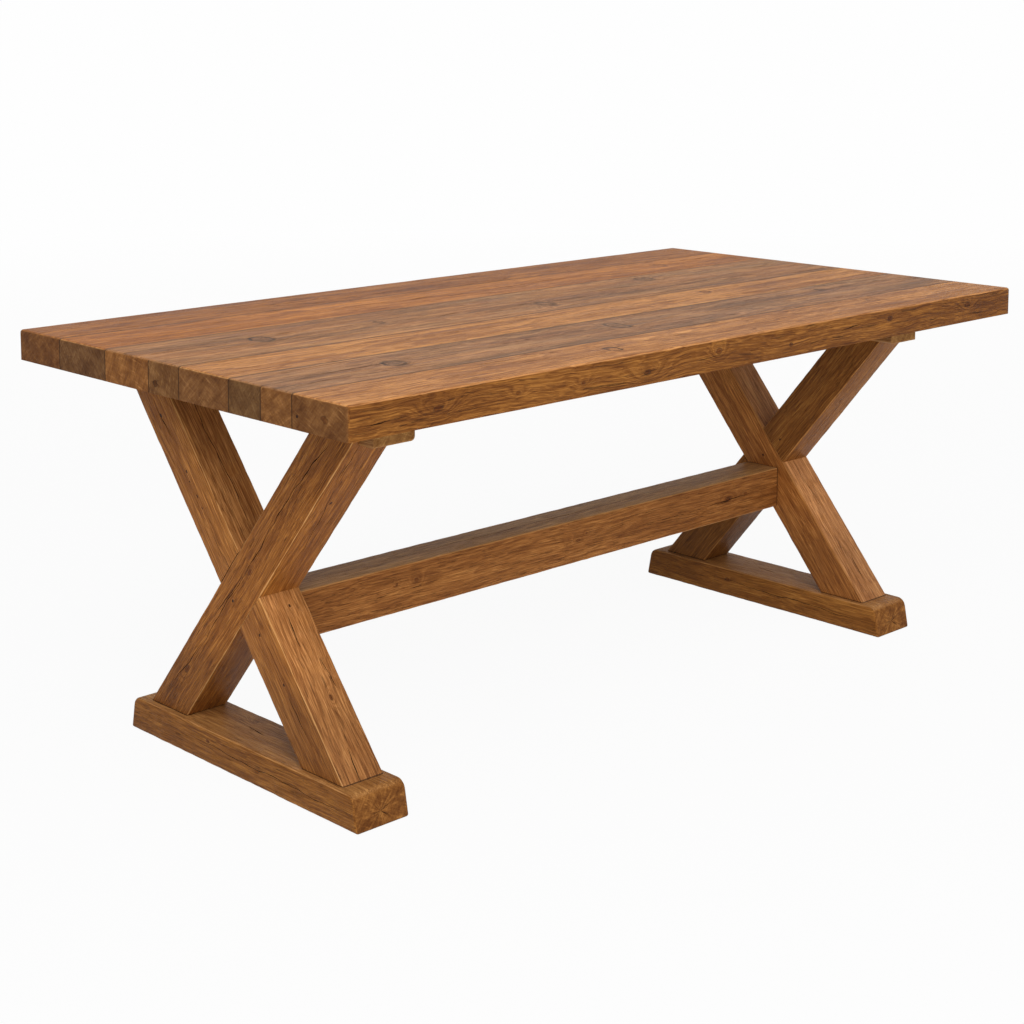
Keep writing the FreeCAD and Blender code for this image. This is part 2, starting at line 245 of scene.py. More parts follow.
# %% Checks along the grain
def lay_checks(tree, place, own, checks):
    """A mask of the checks: (face, from u, to u, across at both, half width) in mm."""
    u, v, w = (add(tree, "SeparateXYZ", place, out=number) for number in range(3))
    wander = streaks(tree, own, 90, 300, 4, 0.6)
    wander = add(tree, "MapRange", wander, 0.2, 0.8, -4.0, 4.0)
    breaks = streaks(tree, own, 30, 9, 2, 0.5, 5.0)
    breaks = add(tree, "MapRange", breaks, 0.40, 0.52, -0.9, 0.0)
    mask = 0.0
    for face, start, end, at_start, at_end, width in checks:
        side, depth = (1 if face[0] == "+" else -1), float(face[2:])
        flat, deep = (v, w) if face[1] == "w" else (w, v)
        slope = (at_end - at_start) / (end - start)
        line = add(tree, "Math.MULTIPLY_ADD", u, slope, at_start - slope * start)
        line = add(tree, "Math.ADD", line, wander)
        off = apart(tree, flat, line)
        along = add(tree, "MapRange", u, min(start, end), max(start, end), -1, 1)
        taper = add(tree, "Math.MULTIPLY", along, along)
        room = add(tree, "MapRange", taper, 0, 1, width, -0.3)
        room = add(tree, "Math.ADD", room, breaks)
        room = add(tree, "Math.SUBTRACT", room, off)
        spindle = add(tree, "MapRange", room, 0, 0.6, 0, 1)
        outer = add(tree, "Math.MULTIPLY", deep, side)
        shallow = add(tree, "MapRange", outer, depth - 24, depth - 16, 0, 1)
        spindle = add(tree, "Math.MULTIPLY", spindle, shallow)
        mask = add(tree, "Math.MAXIMUM", spindle, mask)
    return mask


print("check pattern ready")

# %% [markdown]
# ## Rings
# Each year leaves a pale soft band and a narrow dark hard line. They are shells about the pith,
# so a face cut along them shows long arches and a face cut across them shows stripes. Some years
# are strong and some are faint. The rings of old pine are 2 to 5 mm wide.

# %% The distance from the pith, and the line of late wood
def ring_field(tree, bent, push, ragged, pith):
    """How far a point lies from the pith in mm, with knots and ragged edges."""
    away = add(tree, "VectorMath.ADD", bent, (0, -pith[0], -pith[1]))
    away = add(tree, "VectorMath.MULTIPLY", away, (0.015, 1, 1))
    away = add(tree, "VectorMath.LENGTH", away)
    away = add(tree, "Math.ADD", away, push)
    return add(tree, "Math.MULTIPLY_ADD", ragged, 4.0, away)


def late_wood(tree, field, ring):
    """The dark line that ends each ring, each year with its own strength."""
    turns = add(tree, "Math.DIVIDE", field, ring)
    within = add(tree, "Math.FRACT", turns)
    line = add(tree, "ValToRGB", within,
               stops=grey((0, 0.05), (0.45, 0.22), (0.84, 1.0), (0.93, 0.85), (1, 0.05)))
    year = add(tree, "Math.FLOOR", turns)
    year = add(tree, "TexWhiteNoise", year, noise_dimensions="1D")
    strength = add(tree, "MapRange", year, 0, 1, 0.25, 1.0)
    return add(tree, "Math.MULTIPLY", line, strength)


print("rings ready")

# %% [markdown]
# ## Colour along the grain
# Stain runs along the fibres. Streaks of four widths are laid over each other: the broad ones
# follow whole boards, the next follow the rings and bend round the knots, and the last are the
# fibres. Real fibres are far too fine to see from here, and are drawn 2 mm wide and 70 mm long.
# Round a knot the rings themselves show. There they are drawn 10 mm apart, because the real ones,
# half as far apart, would blur into one tone.

# %% The tone of long grain
def long_grain(tree, own, bent, field, late, halo, contrast, width, fine):
    """The tone about 0.5, and the streaks that relief and wear also use; width is theirs in mm."""
    u, v, _ = (add(tree, "SeparateXYZ", bent, out=number) for number in range(3))
    across = add(tree, "Math.MULTIPLY", v, 0.3)
    flow = add(tree, "CombineXYZ", u, field, across)
    broad = streaks(tree, own, 460, 40, 2, 0.5)
    ringed = streaks(tree, flow, width * 34, width, 4, 0.72)
    plain = streaks(tree, bent, width * 32, width * 0.9, 4, 0.72, 3.7)
    fibre = streaks(tree, bent, 70, 1.7, 2, 0.6, 8.1)
    tone = 0.5
    for layer, share in ((broad, 0.50), (ringed, 0.65), (plain, 0.60), (fibre, fine)):
        reach = 0.6 * share * contrast
        level = add(tree, "MapRange", layer, 0.2, 0.8, -reach, reach)
        tone = add(tree, "Math.ADD", level, tone)
    line = add(tree, "MapRange", late, 0, 1, 0.07 * contrast, -0.24 * contrast)
    tone = add(tree, "Math.ADD", tone, line)
    curl = add(tree, "MapRange", late_wood(tree, field, 10.0), 0, 1, 0.16, -0.46)
    tone = add(tree, "Math.MULTIPLY_ADD", halo, curl, tone)
    return tone, ringed, plain, fibre


print("long grain ready")

# %% [markdown]
# ## End grain
# Cut ends drink more stain and come out darker. The saw leaves slanting scratches across them,
# lighter where the wax was rubbed off, and the rings show faintly below. A boxed heart opens in
# a star of short checks about the pith.

# %% The colour of a cut end
def end_grain(tree, place, own, late, end_tone, turned, pith, star, radial):
    """The colour of a sawn end, and the mask of its star checks."""
    outward = add(tree, "VectorMath.ADD", place, (0, -pith[0], -pith[1]))
    outward = add(tree, "VectorMath.MULTIPLY", outward, (0, 1, 1))
    away = add(tree, "VectorMath.LENGTH", outward)
    heading_out = add(tree, "VectorMath.NORMALIZE", outward)
    slanted = [add(tree, "Mapping", own, (0, 0, 0), (turn, 0, 0), size, vector_type="TEXTURE")
               for turn, size in ((turned, (60, 2.8, 36)), (turned + 1.3, (60, 2.4, 30)),
                                  (turned, (60, 12, 24)), (0, (60, 40, 34)))]
    saw_marks, scratch, blotch, cloud = (add(tree, "TexNoise", at, 1, 3, 0.6) for at in slanted)
    rays = add(tree, "Mapping", heading_out, (turned * 9, 0, 0), (0, 0, 0), (5, 5, 5))
    out_in = add(tree, "Math.MULTIPLY", away, 1 / 22)
    out_in = add(tree, "CombineXYZ", out_in, 0.0, 0.0)
    rays = add(tree, "VectorMath.ADD", rays, out_in)
    rays = add(tree, "TexNoise", rays, 1, 3, 0.6)
    tone = add(tree, "MapRange", blotch, 0.25, 0.75, 0.22, 0.70)
    tone = add(tree, "Math.MULTIPLY_ADD", late, -0.12, tone)
    for layer, reach in ((saw_marks, 0.17), (scratch, 0.13), (cloud, 0.28), (rays, radial)):
        raised = add(tree, "MapRange", layer, 0.28, 0.72, -reach, reach)
        tone = add(tree, "Math.ADD", tone, raised)
    bright = add(tree, "MapRange", scratch, 0.64, 0.69, 0, 0.40)
    tone = add(tree, "Math.ADD", tone, bright)
    sawn = add(tree, "ValToRGB", tone, stops=shades(end_tone, 0.30))
    spoke = apart(tree, add(tree, "TexNoise", heading_out, 1.3, 1, 0.5), 0.52)
    room = add(tree, "MapRange", away, 0, star, 0.030, -0.004)
    spoke = add(tree, "Math.SUBTRACT", room, spoke)
    return sawn, add(tree, "MapRange", spoke, 0.0, 0.012, 0, 1)


print("end grain ready")

# %% [markdown]
# ## Wear and dirt, with painted highlight and painted shade
# Hands, knees and brooms have rubbed the arrises back to bright wood, unevenly, and the light band
# along an arris is also a painted highlight, where the rounded arris catches the light. A point is
# near an arris when it lies shallow below two faces at once. Upright corners are left out, because
# nothing brushes along them. Dirt gathers in the joints, so it lies near the planes where timbers
# meet, and it shows more on an end, where the joint stands open, than on a planed face. The same
# mask also lays a broad faint painted shade on the legs towards the foot beams, and a thin dark
# band along the foot beams' bottom edges.

# %% Masks of wear and dirt
def near_arris(tree, place, offset, halves):
    """The distance in mm from the nearest arris of a box about offset; None leaves a face out."""
    depths = []
    for number, half in enumerate(halves):
        if half is None:
            continue
        away = apart(tree, add(tree, "SeparateXYZ", place, out=number), offset[number])
        depths.append(add(tree, "Math.SUBTRACT", half, away))
    if len(depths) == 3:
        depths[0] = add(tree, "Math.MINIMUM", depths[0], depths[1])
    return add(tree, "Math.MAXIMUM", depths[0], depths[-1])


def joint_dirt_and_shade(tree, joints, on_end):
    """A mask of dirt and painted shade: (axis letter, place in mm, reach in mm, strength, strength
    on an end).
    """
    narrow = add(tree, "MapRange", on_end, 0, 1, 1, 0.5)
    table = add(tree, "VectorMath.SCALE", add(tree, "TexCoord", out=3), 1000)
    mask = 0.0
    for letter, where, reach, *strengths in joints:
        gap = apart(tree, add(tree, "SeparateXYZ", table, out="xyz".index(letter)), where)
        gap = add(tree, "Math.DIVIDE", gap, narrow)
        strength = add(tree, "MapRange", on_end, 0, 1, strengths[0], strengths[-1])
        grime_and_shade = add(tree, "MapRange", gap, reach * 0.5, reach, strength, 0)
        mask = add(tree, "Math.MAXIMUM", grime_and_shade, mask)
    return mask


print("wear and dirt ready")

# %% [markdown]
# ## Old pine, stained and waxed
# The table is reclaimed pine, planed by hand, stained brown and waxed. That gives a low sheen, a
# dark line in every pore and check, and light hard lines between. Faces that look up take a
# lighter set of tones than the others: partly the paler scrubbed top, partly painted light, with
# the other faces in painted shade. Damp has turned the stain grey in soft patches, most of all
# round the knots.
# Wax on wood has an IOR of about 1.48 and is never smooth: roughness 0.4 to 0.6. Its specular
# level is set to a fifth of the usual, or the pale room would grey the top at a low angle.

# %% The wood material
def old_pine(name, centre, rows, tones, step, seed, pith, ring, knots=(), checks=(), box=None,
             joints=(), end_turn=0.6, contrast=1.0, width=6, sway=30, star=30, rub_and_highlight=0.6,
             radial=0.08, bend_fine=0.2, fine=0.8, hair_width=0.55, patchy=0.55,
             patch_tint="#E6E2E8", rub_and_highlight_reach=(2.2, 6.0), hair_from=0.62):
    """One timber's own wood; tones are its upper face, its other faces, its ends and its wear. The
    upper tone is lighter partly as painted light, the others darker as painted shade, and the wear
    tone is also a painted highlight.
    """
    material, tree = blank_material(name)
    place = timber_place(tree, centre, rows)
    own, bent = bend_grain(tree, place, seed, sway, bend_fine)
    ragged = streaks(tree, own, 60, 9, 3, 0.55)
    push, halo, heart, bark = lay_knots(tree, bent, ragged, knots)
    field = ring_field(tree, bent, push, ragged, pith)
    late = late_wood(tree, field, ring)
    tone, ringed, plain, fibre = long_grain(tree, own, bent, field, late, halo, contrast, width,
                                            fine)

    normal = add(tree, "TexCoord", out=1)
    # Faces that look up take the lighter upper tones: partly the paler scrubbed top, partly painted
    # light; the other faces take darker tones as painted shade.
    lit_upward = add(tree, "SeparateXYZ", normal, out=2)
    lit_upward = add(tree, "MapRange", lit_upward, 0.55, 0.85, 0, 1)
    sides = add(tree, "ValToRGB", tone, stops=shades(tones[1], step * 1.1))
    above = add(tree, "ValToRGB", tone, stops=shades(tones[0], step))
    wood = add(tree, "Mix", lit_upward, sides, above, data_type="RGBA")
    patch = streaks(tree, own, 240, 48, 3, 0.6, 17.0)
    patch = add(tree, "MapRange", patch, 0.42, 0.66, 0, patchy)
    smoke = add(tree, "Math.MULTIPLY", halo, patchy)
    patch = add(tree, "Math.MAXIMUM", patch, smoke)
    wood = add(tree, "Mix", patch, wood, colour(patch_tint), data_type="RGBA",
               blend_type="MULTIPLY")

    along = add(tree, "VectorMath.DOT_PRODUCT", normal, tuple(rows[0]))
    along = add(tree, "Math.ABSOLUTE", along)
    on_end = add(tree, "MapRange", along, 0.62, 0.80, 0, 1)
    sawn, spokes = end_grain(tree, place, own, late, tones[2], end_turn, pith, star, radial)
    wood = add(tree, "Mix", on_end, wood, sawn, data_type="RGBA")

    # On a face that looks up a knot's heart is greyed less: part of the same painted light.
    heart_tint = add(tree, "Mix", lit_upward, colour("#CDBBA6"), colour("#EEEAE6"), data_type="RGBA")
    wood = add(tree, "Mix", heart, wood, heart_tint, data_type="RGBA", blend_type="MULTIPLY")
    wood = add(tree, "Mix", bark, wood, colour("#2E1C10"), data_type="RGBA")
    hair = streaks(tree, bent, width * 18, width * hair_width, 3, 0.55, 29.0)
    hair = add(tree, "MapRange", hair, hair_from, hair_from + 0.08, 0, 0.6)
    long_face = add(tree, "Math.SUBTRACT", 1.0, on_end)
    hair = add(tree, "Math.MULTIPLY", hair, long_face)
    spokes = add(tree, "Math.MULTIPLY", spokes, on_end)
    cracks = lay_checks(tree, place, own, checks)
    # The walls of the cut checks are darkened: dust and stain, and painted shade inside the gap.
    walls_stain_and_shade = add(tree, "Attribute", out=2, attribute_name="check_wall")
    cracks = add(tree, "Math.MAXIMUM", walls_stain_and_shade, cracks)
    dark = add(tree, "Math.MAXIMUM", hair, cracks)
    dark = add(tree, "Math.MAXIMUM", dark, spokes)
    wood = add(tree, "Mix", dark, wood, colour("#22140B"), data_type="RGBA")

    # The light band along the arrises is partly wood rubbed bright, partly a painted highlight
    # where the rounded arris catches the light.
    if box:
        arris = near_arris(tree, place, *box)
        reach = add(tree, "MapRange", plain, 0.3, 0.7, *rub_and_highlight_reach)
        wear_and_highlight = add(tree, "Math.DIVIDE", arris, reach)
        wear_and_highlight = add(tree, "MapRange", wear_and_highlight, 0.6, 1.0, rub_and_highlight, 0)
        less = add(tree, "MapRange", on_end, 0, 1, 1, 0.3)
        wear_and_highlight = add(tree, "Math.MULTIPLY", wear_and_highlight, less)
        wood = add(tree, "Mix", wear_and_highlight, wood, colour(tones[3]), data_type="RGBA")
    # Dirt in the joints, and painted shade: the legs darken broadly towards their feet.
    grime_and_shade = joint_dirt_and_shade(tree, joints, on_end)
    wood = add(tree, "Mix", grime_and_shade, wood, colour("#26170C"), data_type="RGBA")

    height = add(tree, "Math.MULTIPLY", late, 0.22)
    for layer, amount in ((ringed, 1.0), (plain, 1.1), (fibre, 0.9), (dark, -1.8), (bark, -0.8)):
        height = add(tree, "Math.MULTIPLY_ADD", layer, amount, height)
    relief = add(tree, "Bump", 0.8, 0.001, None, height)
    gloss = add(tree, "MapRange", plain, 0.3, 0.7, 0.42, 0.60)
    gloss = add(tree, "Math.MULTIPLY_ADD", dark, 0.3, gloss)
    gloss = add(tree, "Math.MULTIPLY_ADD", on_end, 0.15, gloss)
    shader = tree.nodes.new("ShaderNodeBsdfPrincipled")
    tree.links.new(wood, shader.inputs["Base Color"])
    tree.links.new(gloss, shader.inputs["Roughness"])
    tree.links.new(relief, shader.inputs["Normal"])
    shader.inputs["IOR"].default_value = 1.48
    shader.inputs["Specular IOR Level"].default_value = 0.10
    add(tree, "OutputMaterial", shader.outputs[0])
    return material


print("old pine ready")

# %% [markdown]
# ## Modelling a worn timber
# Each timber starts as a cube of its own size. Its long edges are cut into short lengths, then
# bevelled, and the surface is pushed about by a cloud pattern, a few tenths of a mm deep, as a
# hand plane and years of use leave it.

# %% Helpers for modelling by hand
def settle(name):
    """Name the new primitive."""
    piece = bpy.context.active_object
    piece.name = name
    piece.data.name = name
    bpy.ops.object.transform_apply(location=True, rotation=True, scale=True)
    return piece


def start_block(name, corner, opposite):
    """A cube primitive between two opposite corners, in any order."""
    bpy.ops.object.select_all(action="DESELECT")
    middle = [(a + b) / 2 for a, b in zip(corner, opposite)]
    size = [abs(b - a) for a, b in zip(corner, opposite)]
    bpy.ops.mesh.primitive_cube_add(size=1, location=middle, scale=size)
    return settle(name)


def same(one, other):
    """Whether two places or sizes in metres are the same to a tenth of a mm."""
    return abs(one - other) < 0.0001


def only(piece):
    """Select one piece and make it the active one."""
    bpy.ops.object.select_all(action="DESELECT")
    piece.select_set(True)
    bpy.context.view_layer.objects.active = piece


def pick_edges(piece, test):
    """Select the edges whose middle and direction pass a test, and stay in edit mode."""
    only(piece)
    bpy.ops.object.mode_set(mode="EDIT")
    bpy.ops.mesh.select_mode(type="EDGE")
    bpy.ops.mesh.select_all(action="DESELECT")
    bpy.ops.object.mode_set(mode="OBJECT")
    points = piece.data.vertices
    for edge in piece.data.edges:
        start, end = (points[number].co for number in edge.vertices)
        edge.select = test((start + end) / 2, (end - start).normalized())
    bpy.ops.object.mode_set(mode="EDIT")


def runs_along(axis):
    """A test for the edges that run along one axis: 0, 1 or 2."""
    return lambda middle, way: abs(way[axis]) > 0.9


def divide(piece, test, cuts):
    """Cut the edges that pass a test into short lengths."""
    pick_edges(piece, test)
    bpy.ops.mesh.subdivide(number_cuts=cuts)
    bpy.ops.object.mode_set(mode="OBJECT")


def bevel(piece, test, radius, segments):
    """Round the edges that pass a test."""
    pick_edges(piece, test)
    bpy.ops.mesh.bevel(offset=radius, segments=segments, profile=0.5, affect="EDGES",
                       clamp_overlap=True)
    bpy.ops.object.mode_set(mode="OBJECT")


def wear_surface(piece, depth, cloud_size):
    """Push the surface in and out a little by a cloud pattern."""
    cloud = bpy.data.textures.new(piece.name + "_wear", type="CLOUDS")
    cloud.noise_scale = cloud_size
    cloud.noise_depth = 2
    wear = piece.modifiers.new("wear", "DISPLACE")
    wear.texture = cloud
    wear.strength = depth
    wear.mid_level = 0.62
    wear.texture_coords = "LOCAL"
    bpy.context.view_layer.objects.active = piece
    bpy.ops.object.modifier_apply(modifier="wear")


def finish_piece(piece, material, slot, *stands_for, angle=35):
    """Smooth shading up to a sharp arris, then material, body and the solids it stands for."""
    only(piece)
    bpy.ops.object.shade_smooth_by_angle(angle=math.radians(angle))
    piece.data.materials.clear()
    piece.data.materials.append(material)
    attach(piece, "root")
    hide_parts(*stands_for)


print("modelling helpers ready")

# %% [markdown]
# ## Joinery by hand
# Housings, mortises, grooves and tenons are cut the way a joiner thinks of them: a block of the
# waste, or of the tenon, is set in place, and a Boolean takes it away or adds it.

# %% Helpers to turn, saw and join
def on_whole(piece, operator, **values):
    """Run an edit-mode operator on the whole mesh of a piece."""
    only(piece)
    bpy.ops.object.mode_set(mode="EDIT")
    bpy.ops.mesh.select_all(action="SELECT")
    operator(**values)
    bpy.ops.object.mode_set(mode="OBJECT")


def turn_in_place(piece, angle, axis, centre=(0, 0, 0)):
    """Turn a whole mesh about a point; with no window the operator turns the other way."""
    on_whole(piece, bpy.ops.transform.rotate, value=-angle, orient_axis=axis,
             center_override=centre)


def move_mesh(piece, where):
    """Move a whole mesh, so that its object stays at the origin."""
    on_whole(piece, bpy.ops.transform.translate, value=where)


def saw_off(piece, at, towards):
    """Saw the piece through a point and throw away what lies beyond it."""
    on_whole(piece, bpy.ops.mesh.bisect, plane_co=at, plane_no=towards, use_fill=True,
             clear_outer=True)


def join_block(piece, block, how):
    """Take a block away (DIFFERENCE) or add it (UNION); the block itself is used up."""
    bpy.context.view_layer.objects.active = piece
    joint = piece.modifiers.new("joint", "BOOLEAN")
    joint.operation = how
    joint.object = block
    joint.solver = "EXACT"
    bpy.ops.object.modifier_apply(modifier="joint")
    bpy.data.objects.remove(block)


def cut_box(piece, *corners):
    """Cut a box of waste out of a piece."""
    join_block(piece, start_block("waste", *corners), "DIFFERENCE")


def turned_blank(name, radius, base, top, chamfer, sides=48):
    """A cylinder upright from base to top, with its upper rim turned off."""
    bpy.ops.object.select_all(action="DESELECT")
    bpy.ops.mesh.primitive_cylinder_add(vertices=sides, radius=radius, depth=top - base,
                                        location=(0, 0, (base + top) / 2))
    piece = settle(name)
    if chamfer:
        bevel(piece, lambda m, way: abs(m.z - top) < 1e-6, chamfer, 1)
    return piece


def drill(piece, radius, base=-0.002, top=0.012):
    """Bore an upright hole through a piece."""
    join_block(piece, turned_blank("bore", radius, base, top, 0), "DIFFERENCE")


print("joinery helpers ready")

# %% [markdown]
# ## Opening a check
# The wider checks are real gaps. Each is cut with a thin wedge, 9 mm deep, that follows the grain
# and wanders from side to side. The faces that the wedge leaves are marked, so that the material
# can darken them: partly for the dust and old stain that sit there, partly as painted shade deep
# in the gap.

# %% A wedge along the grain
check_depth, wedge_stands_out = 0.009, 0.003
least_open = 1.0                # the half width in mm from which a check is a real gap


def wedge_for(check, centre, rows, share):
    """The wedge for one check: (face, from u, to u, across at both, half width) in mm."""
    face, start, end, at_start, at_end, width = check
    side, level = (1 if face[0] == "+" else -1), float(face[2:])
    deep, flat = (rows[2], rows[1]) if face[1] == "w" else (rows[1], rows[2])
    hand = side if face[1] == "w" else -side
    low, high = min(start, end) / 1000, max(start, end) / 1000
    half = width * share / 1000
    wedge = start_block("wedge", (low, -half, level / 1000 - check_depth),
                        (high, half, level / 1000 + wedge_stands_out))
    divide(wedge, runs_along(0), max(3, round((high - low) / 0.009)))
    for corner in wedge.data.vertices:
        u = corner.co.x * 1000
        along = (u - start) / (end - start)
        taper = (1 - 0.98 * (2 * along - 1) ** 2) * (0.8 + 0.2 * math.sin(u / 6 + level))
        narrow = 0.35 if corner.co.z < level / 1000 else 1.0
        wander = 1.6 * math.sin(u / 33 + start) + 0.9 * math.sin(u / 12.7 + end)
        wander += 0.5 * math.sin(u / 5.1 + start)
        across = at_start + (at_end - at_start) * along + wander
        corner.co.y = corner.co.y * taper * narrow + hand * across / 1000
    mark = wedge.data.attributes.new("check_wall", "FLOAT", "FACE")
    for value in mark.data:
        value.value = 1.0
    axes = Matrix((rows[0], Vector(flat) * hand, Vector(deep) * side)).transposed().to_4x4()
    wedge.matrix_world = Matrix.Translation(centre) @ axes
    bpy.ops.object.transform_apply(location=True, rotation=True, scale=True)
    return wedge


def open_checks(piece, centre, rows, checks, share):
    """Cut the wider checks; return the finer ones, for the material to draw."""
    for check in checks:
        if check[5] >= least_open:
            join_block(piece, wedge_for(check, centre, rows, share), "DIFFERENCE")
    return [check for check in checks if check[5] < least_open]


print("check cutter ready")

# %% [markdown]
# ## The top
# Eight staves of different widths, back to front. The whole top was planed flat after gluing, so
# its outer arrises are eased together, and most joints show as a fine V with old dirt in it. The
# third and fourth stave were ripped from one plank and glued back, and so were the sixth and
# seventh: knots run across these two joints, and the joint itself is only to be seen at the ends.
# Loose tongues line the joints up inside.

# %% The staves' sizes, read from the frame
stave_boxes = [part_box("top_stave_%d" % number) for number in range(1, 9)]
top_low = Vector([min(box[0][axis] for box in stave_boxes) for axis in range(3)])
top_high = Vector([max(box[1][axis] for box in stave_boxes) for axis in range(3)])
top_thickness = top_high.z - top_low.z
ripped_at = (stave_boxes[2][0].y, stave_boxes[5][0].y)
groove_deep, groove_half, groove_stops = 0.0165, 0.0062, 0.09
top_arris, seam_vee = 0.006, 0.0010
print("staves, mm wide:", [round((high.y - low.y) * 1000) for low, high in stave_boxes])


# %% One stave
def stave_piece(name, low, high):
    """A stave with eased outer arrises, a fine V at each joint, and grooves for the tongues."""
    piece = start_block(name, low, high)
    divide(piece, runs_along(0), 60)
    outer = [y for y in (low.y, high.y) if min(y - top_low.y, top_high.y - y) < 0.001]
    at_outer = lambda middle: any(same(middle.y, y) for y in outer)
    at_end = lambda middle: same(abs(middle.x), high.x)
    above = lambda middle: middle.z > high.z - 0.0001
    bevel(piece, lambda m, way: (above(m) and (at_outer(m) or at_end(m) and abs(way.y) > 0.9))
          or (abs(way.z) > 0.9 and at_outer(m) and at_end(m)), top_arris, 5)
    open_at = [y for y in (low.y, high.y) if y not in outer
               and min(abs(y - ripped) for ripped in ripped_at) > 0.001]
    bevel(piece, lambda m, way: abs(way.x) > 0.9 and above(m)
          and any(same(m.y, y) for y in open_at), seam_vee, 1)
    wear_surface(piece, 0.0006, 0.06)
    for y in (low.y, high.y):
        if y in outer:
            continue
        middle_z = (low.z + high.z) / 2
        cut_box(piece, (low.x + groove_stops, y - groove_deep, middle_z - groove_half),
                (high.x - groove_stops, y + groove_deep, middle_z + groove_half))
    return piece


staves = [stave_piece("stave_%d" % number, low, high)
          for number, (low, high) in enumerate(stave_boxes, 1)]
print("staves made:", len(staves), "faces in the first:", len(staves[0].data.polygons))

# %% [markdown]
# ## What each stave shows
# Staves 2, 5 and 8 are warm and yellow, the others greyer. Knots and checks are given on the
# whole table in mm, so that one knot can cross a joint. A knot's numbers are its place, its size
# along, across and deep, how far it pushes the rings, how big its heart is, and how black its
# bark is.

# %% Tones, knots and checks of the top
# Columns: upper face, other faces, ends and wear. The upper tone is lighter partly as painted
# light, the side tone darker as painted shade, and the wear tone also paints a highlight on the
# arrises.
stave_tones = {
    1: ("#955A26", "#623D19", "#6D4422", "#B77E4A"),
    2: ("#A7662B", "#6D461C", "#684628", "#D29A61"),
    3: ("#A06A3C", "#62421E", "#88582D", "#B48257"),
    4: ("#A06A3C", "#62421E", "#734D2A", "#B48257"),
    5: ("#AF733B", "#724B1F", "#744C29", "#D6A169"),
    6: ("#95643C", "#62421E", "#674728", "#B48257"),
    7: ("#95643C", "#62421E", "#80542C", "#B48257"),
    8: ("#AB713D", "#74461A", "#714926", "#CF935B"),
}
shared_plank = {3: (3, 4), 4: (3, 4), 6: (6, 7), 7: (6, 7)}
top_knots = [
    (-654, 88, 762, 25, 30, 60, 30, 0.78, 0.95),
    (-634, -258, 762, 25, 30, 60, 30, 0.78, 0.90),
    (-378, 83, 762, 14, 22, 40, 16, 0.60, 0.70),
    (20, 36, 762, 34, 44, 60, 34, 0.55, 0.60),
    (-75, -250, 762, 24, 34, 50, 26, 0.75, 0.75),
    (-267, -414, 762, 22, 30, 50, 20, 0.60, 0.80),
    (433, 144, 762, 34, 44, 60, 34, 0.55, 0.60),
    (635, 282, 762, 16, 22, 40, 16, 0.60, 0.60),
    (385, -76, 762, 14, 20, 40, 12, 0.60, 0.80),
    (548, -386, 762, 20, 28, 40, 18, 0.60, 0.60),
    (585, -228, 762, 14, 20, 40, 12, 0.60, 0.60),
    (-734, -482, 730, 44, 60, 20, 36, 0.20, 0.55),
    (-560, -482, 728, 26, 40, 12, 18, 0.22, 0.40),
    (-407, -482, 731, 20, 40, 10, 14, 0.28, 0.50),
    (-248, -482, 731, 44, 60, 20, 36, 0.20, 0.50),
    (-55, -482, 735, 26, 60, 20, 30, 0.28, 0.50),
    (155, -482, 733, 7, 40, 4, 4, 0.70, 0.90),
    (473, -482, 742, 13, 40, 8, 12, 0.60, 0.60),
    (751, -482, 742, 34, 40, 16, 24, 0.30, 0.45),
    (-915, 32, 727, 60, 20, 17, 14, 0.30, 0.70),
    (-915, -421, 733, 60, 20, 15, 14, 0.40, 0.45),
    (-915, -352, 725, 30, 5, 4, 3, 0.80, 0.90),
]
# Checks on the upper face: from x, to x, y at both, half width. Then those on the front face.
upper_checks = [
    (-673, -583, 329, 332, 1.9), (-918, -717, 94, 86, 1.8), (-253, -170, 64, 78, 1.5),
    (-868, -805, -122, -122, 1.5), (-209, -22, -76, -85, 1.6), (-846, -595, -249, -250, 1.8),
    (272, 300, -382, -396, 1.4), (811, 846, 117, 98, 1.4), (-470, -300, 404, 398, 1.4),
    (40, 250, 262, 268, 1.3), (330, 560, 30, 40, 1.3), (-560, -380, -366, -372, 1.3),
]
front_checks = [(-884, -826, 725, 727, 1.2), (-832, -790, 728, 730, 0.6), (310, 378, 736, 743, 1.3),
                (-640, -590, 720, 722, 0.6), (560, 690, 722, 726, 0.9)]
print("knots on the top:", len(top_knots), "checks:", len(upper_checks) + len(front_checks))


